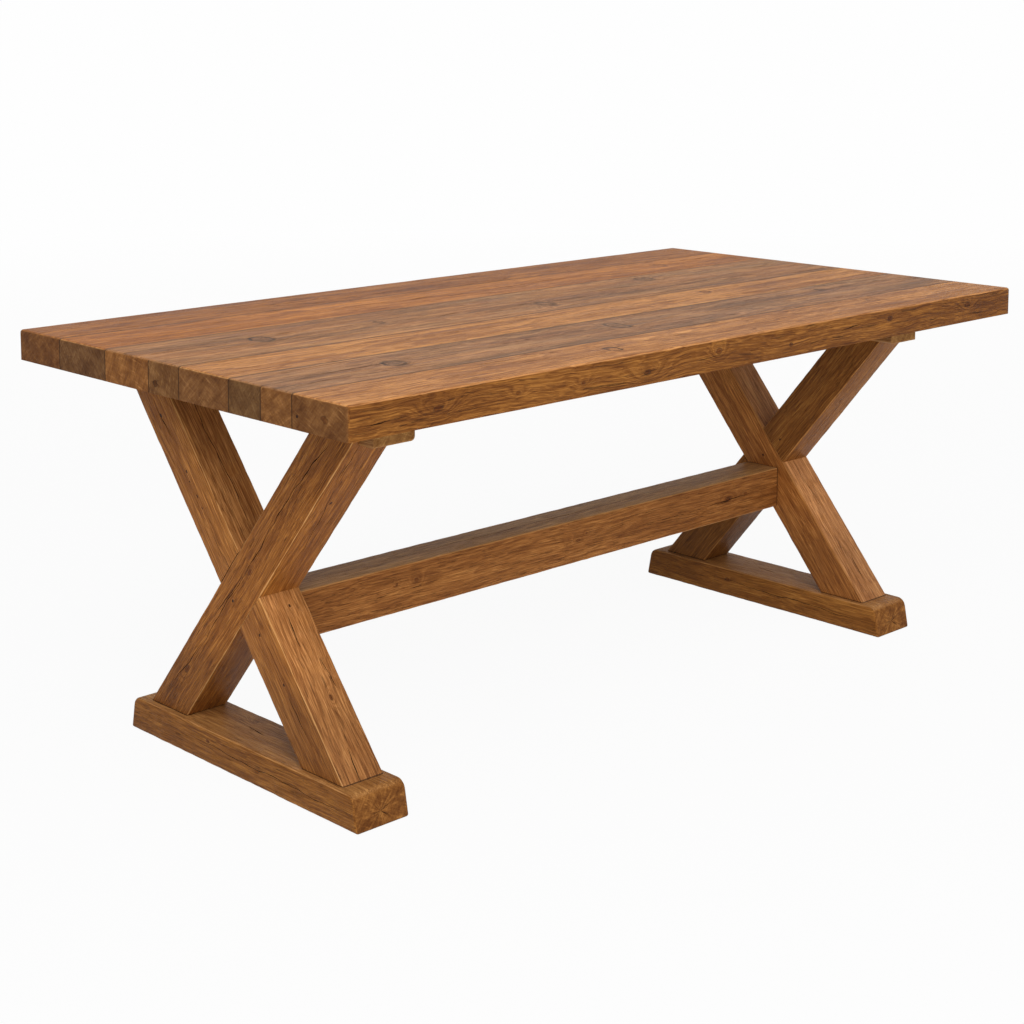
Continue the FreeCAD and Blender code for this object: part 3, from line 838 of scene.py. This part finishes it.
# %% Give each stave its wood
for number, (low, high) in enumerate(stave_boxes, 1):
    first, last = shared_plank.get(number, (number, number))
    plank_low, plank_high = stave_boxes[last - 1][0], stave_boxes[first - 1][1]
    middle = (plank_low + plank_high) * 500
    knots = [(x - middle.x, y - middle.y, z - middle.z, *rest) for x, y, z, *rest in top_knots
             if low.y * 1000 - 45 < y < high.y * 1000 + 45]
    face = "+w%.1f" % (top_thickness * 500)
    checks = [(face, start, end, at_start - middle.y, at_end - middle.y, width)
              for start, end, at_start, at_end, width in upper_checks
              if low.y * 1000 < at_start < high.y * 1000]
    if number == 8:
        checks += [("-v%.1f" % (middle.y - low.y * 1000), start, end, at_start - middle.z,
                    at_end - middle.z, width)
                   for start, end, at_start, at_end, width in front_checks]
    checks = open_checks(staves[number - 1], middle / 1000, along_x, checks, 0.9)
    halves = tuple((plank_high - plank_low) * 500 + Vector((0, 0, 40)))
    seams = [("y", y * 1000, 3.4, 0.12 if y in ripped_at else 0.72, 0.8) for y in (low.y, high.y)
             if abs(y) < top_high.y - 0.001]
    wood = old_pine("waxed_old_pine_stave_%d" % number, middle / 1000, along_x, stave_tones[number],
                    0.30, first,
                    pith=(-44, -7) if number in (3, 4) else ((-1) ** number * 34, -74 - 9 * number),
                    ring=5.2 + 0.4 * (number % 3),
                    knots=knots, checks=checks, box=((0, 0, -40), halves), joints=seams,
                    end_turn=(0.9, -0.7, 0.5, -1.0, 0.8, -0.6, 1.0, 0.7)[number - 1], sway=34,
                    star=17, rub_and_highlight=0.7 if number in (2, 5, 8) else 0.35, rub_and_highlight_reach=(1.6, 4.2),
                    width=6.5 if number in (1, 8) else 10, fine=1.0,
                    patchy=0.8 if number in shared_plank else 0.55,
                    patch_tint="#D0DCEC" if number in shared_plank else "#E6E2E8")
    finish_piece(staves[number - 1], wood, "top_wood", "top_stave_%d" % number)
print("staves finished")

# %% [markdown]
# ## The legs
# Each X is two square timbers of 89 mm. They lean across each other and half of each is housed
# where they cross. Level shoulders carry a stub tenon into the foot beam and the cleat, and a thin
# outer cheek laps the side of the cleat. Boxed-heart timber like this always checks along the
# middle of its faces.

# %% Sizes that the legs share, in metres
leg_half = 0.0445
leg_arris, arris_steps = 0.0035, 3
half_blank = 0.55               # half the length of the blank that a leg is sawn from
tenon_wide, tenon_broad, tenon_long = 0.016, 0.039, 0.037     # the first two are half sizes
rooted = 0.001                  # how far a tenon's block reaches back into its own timber
waste_wide, waste_long = 0.06, 0.3      # a block of waste reaches past every face it must cut
beyond = 0.01                   # how far a block of waste stands out of the face it is cut from
foot_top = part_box("left_foot_beam")[1].z
cleat_low, cleat_top = (corner.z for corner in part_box("left_cleat"))
foot_reach, head_reach = 0.228, 0.256
lean = math.atan2(foot_reach + head_reach, cleat_low - foot_top)
crossing = foot_top + (cleat_low - foot_top) * foot_reach / (foot_reach + head_reach)
frame_x = (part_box("right_foot_beam")[0].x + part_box("right_foot_beam")[1].x) / 2
cleat_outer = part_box("right_cleat")[1].x
print("lean of a leg, degrees:", round(math.degrees(lean), 2), "crossing at", round(crossing, 4))


# %% One leg, and the mortise for its tenon
def cut_mortise(piece, x, y, face, way):
    """A mortise with a little play, up (way 1) or down (-1) from a face at this height."""
    wide, broad = tenon_wide + 0.0001, tenon_broad + 0.0002
    cut_box(piece, (x - wide, y - broad, face + way * (tenon_long + 0.0005)),
            (x + wide, y + broad, face - way * beyond))


def leg_piece(name, side, head, outside):
    """side is the table's end, head the side of the top end; outside, where the lap is cut."""
    x = side * frame_x
    centre = (x, 0, crossing)
    piece = start_block(name, (x - leg_half, -leg_half, crossing - half_blank),
                        (x + leg_half, leg_half, crossing + half_blank))
    divide(piece, runs_along(2), 90)
    bevel(piece, runs_along(2), leg_arris, arris_steps)
    turn_in_place(piece, -head * lean, "X", centre)
    wear_surface(piece, 0.0014, 0.03)
    saw_off(piece, (0, 0, foot_top), (0, 0, -1))
    saw_off(piece, (0, 0, cleat_top), (0, 0, 1))
    head_y = head * head_reach
    cut_box(piece, (side * cleat_outer, head_y - waste_long / 2, cleat_low),
            (side * (frame_x - waste_wide), head_y + waste_long / 2, cleat_top + beyond))
    lap = start_block("lap", (x, -leg_half, crossing - waste_long),
                      (x + outside * waste_wide, leg_half, crossing + waste_long))
    turn_in_place(lap, head * lean, "X", centre)
    join_block(piece, lap, "DIFFERENCE")
    for y, z, way in ((-head * foot_reach, foot_top, -1), (head_y, cleat_low, 1)):
        tenon = start_block("tenon", (x - tenon_wide, y - tenon_broad, z - way * rooted),
                            (x + tenon_wide, y + tenon_broad, z + way * tenon_long))
        join_block(piece, tenon, "UNION")
    return piece


print("leg maker ready")

# %% [markdown]
# ## What each leg shows
# A leg's own axes are u up along it from the crossing, v across it and w towards the left end of
# the table. Its knots and checks are given on those axes in mm.

# %% Knots, checks and wood of the legs
# Columns: upper face, other faces, ends and wear, as on the staves, with the same painted light,
# shade and highlight. The far frame's legs stand in the shade of the top and get lighter upper
# tones than the near frame's, as painted light.
leg_tones = {
    "left_leg_front_head": ("#A66B3A", "#945A25", "#795335", "#D29A5E"),
    "left_leg_back_head": ("#B58053", "#9E632D", "#795335", "#D29A5E"),
    "right_leg_front_head": ("#AE7140", "#8D5826", "#795335", "#B98048"),
    "right_leg_back_head": ("#D39B6B", "#A86932", "#795335", "#B98048"),
}
leg_knots = {
    "left_leg_front_head": [
        (-31, 4, 44, 4.5, 3, 25, 3, 0.8, 0.95), (-248, 10, 44, 24, 11, 30, 12, 0.3, 0.6),
        (52, 4, 44, 22, 10, 30, 10, 0.3, 0.3), (284, -44, 8, 4, 25, 3, 3, 0.8, 0.9),
        (-390, -14, 44, 20, 9, 30, 9, 0.3, 0.4)],
    "left_leg_back_head": [
        (362, 6, 44, 6, 4, 25, 5, 0.8, 0.9), (242, 3, 44, 4, 2.4, 25, 2, 0.8, 0.9),
        (223, 7, 44, 3, 2, 25, 2, 0.8, 0.9), (191, 4, 44, 4, 2, 25, 2, 0.8, 0.8),
        (167, 5, 44, 3, 2, 25, 2, 0.8, 0.8), (-89, -4, 44, 4.5, 3, 25, 4, 0.8, 0.9),
        (-188, -8, 44, 3.5, 2.2, 25, 2, 0.8, 0.9), (-65, -44, -6, 4, 25, 2.6, 3, 0.8, 0.9),
        (-242, -44, -8, 18, 30, 9, 12, 0.3, 0.6)],
    "right_leg_front_head": [
        (71, -7, 44, 4, 2.6, 25, 3, 0.8, 0.9), (240, -44, 10, 20, 30, 9, 10, 0.3, 0.5)],
    "right_leg_back_head": [
        (6, -10, 44, 4, 3, 25, 3, 0.8, 0.9), (-150, 44, 6, 18, 30, 9, 10, 0.3, 0.5)],
}
leg_checks = {
    "left_leg_front_head": [("+w44", 400, 270, -4, 8, 1.8), ("+w44", 290, 150, 8, 10, 1.4),
                            ("+w44", 165, 40, 10, 8, 1.6), ("+w44", 60, -190, 8, 10, 1.2),
                            ("+w44", -170, -310, 10, 24, 1.3), ("+w44", 70, -145, 5, 24, 0.9),
                            ("-v44", 430, 350, 24, 22, 1.6), ("-v44", 330, 130, 20, 2, 1.2)],
    "left_leg_back_head": [("+w44", 372, 306, 6, 2, 1.5), ("+w44", 130, -100, 5, -5, 1.0),
                           ("+w44", -205, -290, -8, -8, 1.7), ("-v44", -80, -146, 6, 8, 1.7),
                           ("-v44", -170, -236, -24, -26, 1.4), ("-v44", -330, -396, 5, 8, 1.9),
                           ("-v44", 420, 60, 4, -4, 1.4)],
    "right_leg_front_head": [("-w44", 360, 40, 6, -4, 1.3), ("-v44", 300, -200, 4, 0, 1.2)],
    "right_leg_back_head": [("-w44", 380, -60, -4, 5, 1.3), ("-v44", 60, -200, 8, 5, 1.2),
                            ("-v44", -280, -345, -6, 2, 1.8)],
}
# What the streaks, hairs and wear of all the frame's timbers share.
frame_grain = {"width": 2.8, "sway": 22, "hair_width": 0.36, "hair_from": 0.605, "patchy": 0.3,
               "rub_and_highlight_reach": (1.2, 3.4)}
legs = []
for side_name, side in (("left", -1), ("right", 1)):
    for head_name, head in (("front", -1), ("back", 1)):
        name = "%s_leg_%s_head" % (side_name, head_name)
        leg = leg_piece(name + "_timber", side, head, side * head)
        rows = ((0, head * math.sin(lean), math.cos(lean)),
                (0, math.cos(lean), -head * math.sin(lean)), (-1, 0, 0))
        checks = open_checks(leg, (side * frame_x, 0, crossing), rows, leg_checks[name], 0.7)
        # In the joints below, the narrow band is dirt at the foot beam; the broad faint one, 190
        # mm, is painted shade that darkens the leg towards its foot.
        wood = old_pine("waxed_old_pine_" + name, (side * frame_x, 0, crossing), rows,
                        leg_tones[name], 0.34, len(legs) + 11, pith=(6, 4), ring=4.0,
                        contrast=0.62, bend_fine=0.08, rub_and_highlight=1.0, fine=1.2,
                        knots=leg_knots[name], checks=checks,
                        box=((0, 0, 0), (None, leg_half * 1000, leg_half * 1000)),
                        joints=[("z", foot_top * 1000, 2.6, 0.85),
                                ("z", foot_top * 1000, 190, 0.3)], **frame_grain)
        finish_piece(leg, wood, "frame_wood", name)
        legs.append(leg)
print("legs made:", len(legs), "faces in one:", len(legs[0].data.polygons))

# %% [markdown]
# ## The foot beams
# The feet are the heaviest timbers. Their ends lean in a little, and the upper corners are
# rounded over with a spokeshave, so that no toe catches on them. The block starts a hair above
# the floor, because the wear pushes its faces about and none may dip below.

# %% One foot beam
foot_lift, foot_slope = 0.0006, 0.012
shoulder_round, rim_round = 0.016, 0.006


def foot_beam(name, side):
    """A beam whose top end edges move in, then are rounded over; with mortises for the legs."""
    low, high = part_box(name)
    piece = start_block(name + "_timber", low + Vector((0, 0, foot_lift)), high)
    for end in (-1, 1):
        pick_edges(piece, lambda m, way: abs(way.x) > 0.9 and m.z > 0.05 and m.y * end > 0)
        bpy.ops.transform.translate(value=(0, -foot_slope * end, 0))
        bpy.ops.object.mode_set(mode="OBJECT")
    bevel(piece, lambda m, way: abs(way.x) > 0.9 and m.z > 0.05, shoulder_round, 7)
    divide(piece, lambda m, way: abs(way.y) > 0.9 and abs(m.y) < 0.05, 56)
    half = (high.x - low.x) / 2
    bevel(piece, lambda m, way: same(abs(m.x - side * frame_x), half)
          or (abs(way.x) > 0.9 and m.z < 0.002), rim_round, 4)
    wear_surface(piece, 0.0013, 0.03)
    for y in (-foot_reach, foot_reach):
        cut_mortise(piece, side * frame_x, y, foot_top, -1)
    return piece


for name, side in (("left_foot_beam", -1), ("right_foot_beam", 1)):
    foot = foot_beam(name, side)
    checks = open_checks(foot, (side * frame_x, 0, foot_top / 2), along_y,
                         [("+v57", 150, -330, 6, -4, 1.3), ("+w32", 50, -8, -10, 2, 2.2),
                          ("-w32", 300, -200, 8, -6, 1.4), ("-v57", 250, -300, 4, -6, 1.4)], 0.7)
    wood = old_pine("waxed_old_pine_" + name, (side * frame_x, 0, foot_top / 2), along_y,
                    ("#966637", "#855322", "#7C4E22", "#C89058"), 0.30, 31 + side,
                    pith=(3, -5), ring=6.0, checks=checks,
                    knots=[(87, 57, 11, 9, 30, 5, 5, 0.6, 0.6),
                           (-61, 57, -2, 10, 30, 5, 5, 0.5, 0.5),
                           (60, -30, 32, 26, 14, 30, 14, 0.3, 0.4)],
                    box=((0, 0, 0), (None, 57, 32)), joints=[("z", 0, 1.6, 0.85)],
                    end_turn=0.75, star=28, radial=0.38, contrast=0.60, bend_fine=0.1,
                    fine=1.3, rub_and_highlight=0.75, **frame_grain)
    finish_piece(foot, wood, "frame_wood", name)
print("foot beams made")

# %% [markdown]
# ## The cleats
# A cleat under each end of the top takes the leg heads and lets the top swell and shrink on
# slotted screws. Its inner lower arris is rounded so that a knee slides past.

# %% One cleat
slot_half_wide, slot_half_long = 0.0045, 0.0095


def cleat_piece(name, side):
    """A beam with one rounded arris, mortised for the leg heads and slotted for the screws."""
    low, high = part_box(name)
    piece = start_block(name + "_timber", low, high)
    divide(piece, runs_along(1), 40)
    inner = min(abs(low.x), abs(high.x))
    bevel(piece, lambda m, way: abs(way.y) > 0.9 and m.z < low.z + 0.0001
          and abs(m.x) < inner + 0.0001, 0.008, 5)
    bevel(piece, lambda m, way: same(abs(m.y), high.y) and m.z < high.z - 0.001, 0.0015, 1)
    wear_surface(piece, 0.0006, 0.03)
    for y in (-head_reach, head_reach):
        cut_mortise(piece, side * frame_x, y, low.z, 1)
    middle_x = (low.x + high.x) / 2
    for y in (-0.13, 0.0, 0.13):
        cut_box(piece, (middle_x - slot_half_wide, y - slot_half_long, low.z - beyond),
                (middle_x + slot_half_wide, y + slot_half_long, high.z + beyond))
    return piece


for name, side in (("left_cleat", -1), ("right_cleat", 1)):
    cleat = cleat_piece(name, side)
    low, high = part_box(name)
    # Its side and end tones are lighter than those of the other frame timbers: painted light, since
    # the cleat sits in the shade under the top.
    wood = old_pine("waxed_old_pine_" + name, (low + high) / 2, along_y,
                    ("#946335", "#97693D", "#9B6D3B", "#C89058"), 0.24, 41 + side, pith=(15, -60),
                    ring=5.5, box=((0, 0, 0), (352, 45, 27.5)),
                    joints=[("z", high.z * 1000, 2.5, 0.85)], sway=24)
    finish_piece(cleat, wood, "frame_wood", name)
print("cleats made")

# %% [markdown]
# ## The stretcher
# One long timber ties the two frames. A hanger bolt runs through each of its ends into the
# crossing, and the nut sits in a pocket underneath, out of sight.

# %% The stretcher, with its tenons and nut pockets
low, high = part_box("stretcher")
shoulder = frame_x - leg_half
wall = shoulder - 0.062         # the wall of the nut pocket that the washer bears on
pocket_long, pocket_half = 0.042, 0.017
stub_long, stub_wide, stub_high = 0.03, 0.025, 0.020          # the last two are half sizes
bolt_bore = 0.0055
stretcher = start_block("stretcher_timber", (-shoulder, low.y, low.z),
                        (shoulder, high.y, high.z))
divide(stretcher, runs_along(0), 96)
bevel(stretcher, runs_along(0), leg_arris, arris_steps)
wear_surface(stretcher, 0.0013, 0.03)
tenon_z = high.z - 0.028
for side in (-1, 1):
    tenon = start_block("tenon", (side * shoulder - stub_long, -stub_wide, tenon_z - stub_high),
                        (side * shoulder + stub_long, stub_wide, tenon_z + stub_high))
    join_block(stretcher, tenon, "UNION")
    pocket = start_block("pocket", (wall - pocket_long, -pocket_half, low.z - beyond),
                         (wall, pocket_half, tenon_z + pocket_half))
    bevel(pocket, runs_along(2), 0.008, 5)
    turn_in_place(pocket, 0 if side > 0 else math.pi, "Z")
    join_block(stretcher, pocket, "DIFFERENCE")
    bore = turned_blank("bore", bolt_bore, wall - 0.002, shoulder + stub_long + 0.001, 0)
    turn_in_place(bore, side * math.pi / 2, "Y")
    move_mesh(bore, (0, 0, tenon_z))
    join_block(stretcher, bore, "DIFFERENCE")
stretcher_middle = (0, 0, (low.z + high.z) / 2)
checks = open_checks(stretcher, stretcher_middle, along_x,
                     [("-v44", 200, 450, -1, -4, 0.9), ("-v44", 440, 600, -4, 6, 1.6),
                      ("+w44", -600, 500, 2, -4, 1.3), ("-v44", -560, -300, -8, -2, 0.9),
                      ("+v44", -400, 300, 4, -3, 1.3)], 0.7)
# Its upper tone is far lighter than its sides: painted light on a top face that lies in the shade
# of the table top.
wood = old_pine("waxed_old_pine_stretcher", stretcher_middle, along_x,
                ("#B68653", "#8B5628", "#795335", "#C08850"), 0.30, 51, pith=(4, -3), ring=4.4,
                contrast=0.62, bend_fine=0.1, fine=1.3, rub_and_highlight=0.9,
                knots=[(-400, -44, 8, 18, 40, 12, 14, 0.3, 0.5),
                       (-448, -44, 8, 10, 30, 7, 6, 0.3, 0.5),
                       (36, -44, 3, 18, 40, 9, 10, 0.3, 0.6),
                       (60, -44, 12, 12, 30, 7, 6, 0.3, 0.5),
                       (510, -44, 3, 26, 40, 12, 16, 0.25, 0.6),
                       (570, -44, 6, 16, 40, 9, 10, 0.3, 0.6)],
                checks=checks,
                box=((0, 0, 0), (None, 44.5, 44.5)),
                joints=[("x", -shoulder * 1000, 3.0, 0.85), ("x", shoulder * 1000, 3.0, 0.85)],
                **{**frame_grain, "width": 3.0, "hair_from": 0.60, "rub_and_highlight_reach": (1.4, 3.8)})
finish_piece(stretcher, wood, "frame_wood", "stretcher")
print("stretcher made")

# %% [markdown]
# ## Zinc-plated steel
# The screws and bolts are bright zinc on steel, gone dull under the table. Zinc is a bluish grey
# metal. Its plated crystals and years of handling show as cloudy patches of roughness.

# %% The metal material
zinc, tree = blank_material("dull_zinc_steel")
where = add(tree, "TexCoord", out=3)
cloudy = add(tree, "TexNoise", where, 320, 3, 0.6)
speckle = add(tree, "TexNoise", where, 1900, 2, 0.6)
plating = add(tree, "ValToRGB", cloudy, stops=[(0.3, colour("#8E9092")), (0.5, colour("#A9ABAC")),
                                               (0.7, colour("#BDBEBD"))])
tarnish = add(tree, "MapRange", speckle, 0.56, 0.72, 0, 0.5)
plating = add(tree, "Mix", tarnish, plating, colour("#6E665C"), data_type="RGBA")
shine = add(tree, "MapRange", cloudy, 0.3, 0.7, 0.30, 0.48)
pitted = add(tree, "Bump", 0.25, 0.0002, None, speckle)
shader = tree.nodes.new("ShaderNodeBsdfPrincipled")
tree.links.new(plating, shader.inputs["Base Color"])
tree.links.new(shine, shader.inputs["Roughness"])
tree.links.new(pitted, shader.inputs["Normal"])
shader.inputs["Metallic"].default_value = 1.0
add(tree, "OutputMaterial", shader.outputs[0])
print("zinc ready")

# %% [markdown]
# ## Screws, bolts, washers and nuts
# A forged hexagon has its corners turned off at an angle, which leaves an arc on each flat. So a
# head is a six-sided prism cut to a turned blank. A thread is a three-cornered ridge wound round
# the shank.

# %% Helpers for turned metal
def hexagon(name, across_flats, base, top):
    """A six-sided prism whose corners are turned off above."""
    corner = across_flats / math.sqrt(3)
    piece = turned_blank(name, corner, base, top, 0, sides=6)
    blank = turned_blank("blank", corner + 0.0001, base, top, (corner - across_flats / 2) * 1.2)
    join_block(piece, blank, "INTERSECT")
    return piece


def wind_thread(name, radius, pitch, base, turns):
    """A three-cornered ridge wound upwards round a shank."""
    bpy.ops.object.select_all(action="DESELECT")
    bpy.ops.mesh.primitive_circle_add(vertices=3, radius=pitch * 0.42, location=(0, 0, 0),
                                      rotation=(math.radians(90), 0, 0), fill_type="NOTHING")
    ridge = settle(name)
    turn_in_place(ridge, -math.radians(90), "Y")
    outermost = max(corner.co.x for corner in ridge.data.vertices)
    move_mesh(ridge, (radius - outermost, 0, base))
    winding = ridge.modifiers.new("winding", "SCREW")
    winding.axis = "Z"
    winding.steps = 20
    winding.iterations = turns
    winding.screw_offset = pitch
    winding.use_merge_vertices = False
    bpy.ops.object.modifier_apply(modifier="winding")
    on_whole(ridge, bpy.ops.mesh.fill_holes, sides=4)
    on_whole(ridge, bpy.ops.mesh.normals_make_consistent, inside=False)
    return ridge


def as_one(*parts):
    """Join parts into the first one."""
    bpy.ops.object.select_all(action="DESELECT")
    for part in parts:
        part.select_set(True)
    bpy.context.view_layer.objects.active = parts[0]
    bpy.ops.object.join()
    return parts[0]


def finish_metal(piece, node):
    """Finish a turned or forged piece; its flats meet at shallow angles, which stay sharp."""
    finish_piece(piece, zinc, "zinc_steel", node, angle=30)


def finish_copies(pattern, name, node, places):
    """Finish a copy of a piece at each place, with its own mesh; the pattern goes."""
    for number, place in enumerate(places, 1):
        copy = pattern.copy()
        copy.data = pattern.data.copy()
        copy.name = "%s_%d" % (name, number)
        bpy.context.scene.collection.objects.link(copy)
        move_mesh(copy, place)
        finish_metal(copy, node)
    bpy.data.objects.remove(pattern)


print("metal helpers ready")

# %% The coach screws and their washers
screw_low, screw_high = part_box("cleat_screws")
washer_low, washer_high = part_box("cleat_washers")
head_height, head_flats = 0.0055, 0.013
washer_radius, screw_hole = 0.011, 0.0045
core_radius, screw_radius, screw_pitch = 0.0033, 0.004, 0.0035
seat = washer_low.z
length = screw_high.z - seat
screw = hexagon("coach_screw", head_flats, 0.0, head_height)
turn_in_place(screw, math.pi, "X")
shank = turned_blank("shank", core_radius, -0.0005, length, 0.0028)
collar = turned_blank("collar", screw_radius, -0.0005, length * 0.4, 0.0006)
thread = wind_thread("thread", screw_radius, screw_pitch, length * 0.38, 15)
screw = as_one(screw, shank, collar, thread)
across = (screw_low.y + head_flats / 2, 0.0, screw_high.y - head_flats / 2)
centre_x = washer_high.x - washer_radius
places = [(side * centre_x, y, seat) for side in (-1, 1) for y in across]
finish_copies(screw, "coach_screw", "cleat_screws", places)

washer = turned_blank("screw_washer", washer_radius, 0.0, washer_high.z - washer_low.z, 0.0003)
drill(washer, screw_hole, -0.001, 0.004)
finish_copies(washer, "screw_washer", "cleat_washers", places)
print("coach screws:", len(places), "heads at z", round(seat, 4), "x", round(centre_x, 4))

# %% The hanger bolts, their washers and nuts
bolt_low, bolt_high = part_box("stretcher_bolts")
bolt_z = (bolt_low.z + bolt_high.z) / 2
wall_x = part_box("stretcher_washers")[1].x
nut_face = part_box("stretcher_nuts")[1].x
nut_height, nut_flats, nut_bore = 0.008, 0.017, 0.0051
rod_radius, crest_radius, ring_radius = 0.0043, 0.005, 0.013
fine_pitch, coarse_pitch = 0.0015, 0.0040
inner_end = nut_face - nut_height - 0.006
for side_name, side in (("left", -1), ("right", 1)):
    bolt = turned_blank("hanger_bolt_" + side_name, rod_radius, inner_end, bolt_high.x, 0.001)
    machine = wind_thread("machine_thread", crest_radius, fine_pitch, inner_end + 0.001, 14)
    wood_screw = wind_thread("wood_thread", crest_radius, coarse_pitch, bolt_high.x - 0.048, 11)
    bolt = as_one(bolt, machine, wood_screw)
    nut = hexagon("hexagon_nut_" + side_name, nut_flats, 0.0, nut_height)
    drill(nut, nut_bore)
    washer = turned_blank("bolt_washer_" + side_name, ring_radius, 0.0, wall_x - nut_face, 0.0003)
    drill(washer, bolt_bore)
    turn_in_place(nut, math.pi, "X")
    turn_in_place(washer, math.pi, "X")
    for piece, along, node in ((bolt, 0.0, "stretcher_bolts"), (nut, nut_face, "stretcher_nuts"),
                               (washer, wall_x, "stretcher_washers")):
        move_mesh(piece, (0, 0, along))
        turn_in_place(piece, side * math.pi / 2, "Y")
        move_mesh(piece, (0, 0, bolt_z))
        finish_metal(piece, node)
    low = [min(corner.co[axis] for corner in bolt.data.vertices) for axis in range(3)]
    high = [max(corner.co[axis] for corner in bolt.data.vertices) for axis in range(3)]
    print(side_name, "bolt from", [round(v, 4) for v in low], "to", [round(v, 4) for v in high])

# %% [markdown]
# ## The tongues
# A loose tongue of unstained pine in each glued joint keeps the staves level. Nobody sees them
# once the top is glued, so they are sawn straight, with their arrises taken off to slide in.

# %% Seven tongues
tongue_low, tongue_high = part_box("top_tongues")
tongue_deep = 0.015             # how far a tongue reaches into each stave
bare = old_pine("bare_pine_tongue", (0, 0, (tongue_low.z + tongue_high.z) / 2), along_x,
                ("#D8B684", "#D2AE7A", "#B98F5C", "#E2C89C"), 0.16, 77, pith=(20, -50), ring=3.5,
                width=5, contrast=0.8, sway=16, patchy=0.0)
for number, (low, high) in enumerate(stave_boxes[:-1], 1):
    tongue = start_block("tongue_%d" % number, (tongue_low.x, low.y - tongue_deep, tongue_low.z),
                         (tongue_high.x, low.y + tongue_deep, tongue_high.z))
    bevel(tongue, runs_along(0), 0.0008, 1)
    divide(tongue, runs_along(0), 12)
    finish_piece(tongue, bare, "tongue_wood", "top_tongues")
print("tongues made, first at y", round(stave_boxes[0][0].y, 4))

# %% [markdown]
# ## Light and floor
# Soft light comes from the front and above, as from a large window, and from a pale room all
# round. A low reflector fills the side that faces away from the window. The floor looks white to
# the camera but keeps a share of its own shading, so the shadow of the table stays. Far off it
# fades into the white of the room, like the sweep of a studio backdrop.

# %% What sees the white
def sees_white(tree):
    """1 for a ray from the camera, and for one that metal reflects or glass lets through."""
    camera_ray, glossy, through = (add(tree, "LightPath", out=number) for number in (0, 3, 6))
    either = add(tree, "Math.MAXIMUM", camera_ray, glossy)
    return add(tree, "Math.MAXIMUM", either, through)


# %% The pale floor
bpy.ops.object.select_all(action="DESELECT")
bpy.ops.mesh.primitive_plane_add(size=600, location=(0, 0, 0))
floor = bpy.context.active_object
floor.name = "floor"
floor_paint, tree = blank_material("pale_matt_floor")
matt = add(tree, "BsdfDiffuse", colour("#E2E2E2"), 0.0)
glow = add(tree, "Emission", colour("#FEFEFE"), 1.0)
away = add(tree, "VectorMath.LENGTH", add(tree, "TexCoord", out=3))
sweep = add(tree, "MapRange", away, 2.0, 8.0, 0.95, 1.0)
share = add(tree, "Math.MULTIPLY", sees_white(tree), sweep)
both = add(tree, "MixShader", share, matt, glow)
add(tree, "OutputMaterial", both)
floor.data.materials.append(floor_paint)
print("floor laid")

# %% The room and the window
world = bpy.data.worlds.new("studio")
bpy.context.scene.world = world
world.use_nodes = True
tree = world.node_tree
tree.nodes.clear()
room = add(tree, "Background", colour("#FFFFFF"), 0.40)
white = add(tree, "Background", colour("#FEFEFE"), 1.0)
both = add(tree, "MixShader", sees_white(tree), room, white)
add(tree, "OutputWorld", both)
for name, watts, size, where in (("window_light", 520, 6.0, (-3.76, -4.64, 5.36)),
                                 ("low_reflector", 100, 4.0, (0.6, -6.0, 0.9))):
    light = bpy.data.lights.new(name, "AREA")
    light.energy, light.size = watts, size
    lamp = bpy.data.objects.new(name, light)
    bpy.context.scene.collection.objects.link(lamp)
    lamp.location = where
    lamp.rotation_euler = lamp.location.to_track_quat("Z", "Y").to_euler()
print("lamps hung")

# %% Plain view settings
bpy.context.scene.view_settings.view_transform = "Standard"
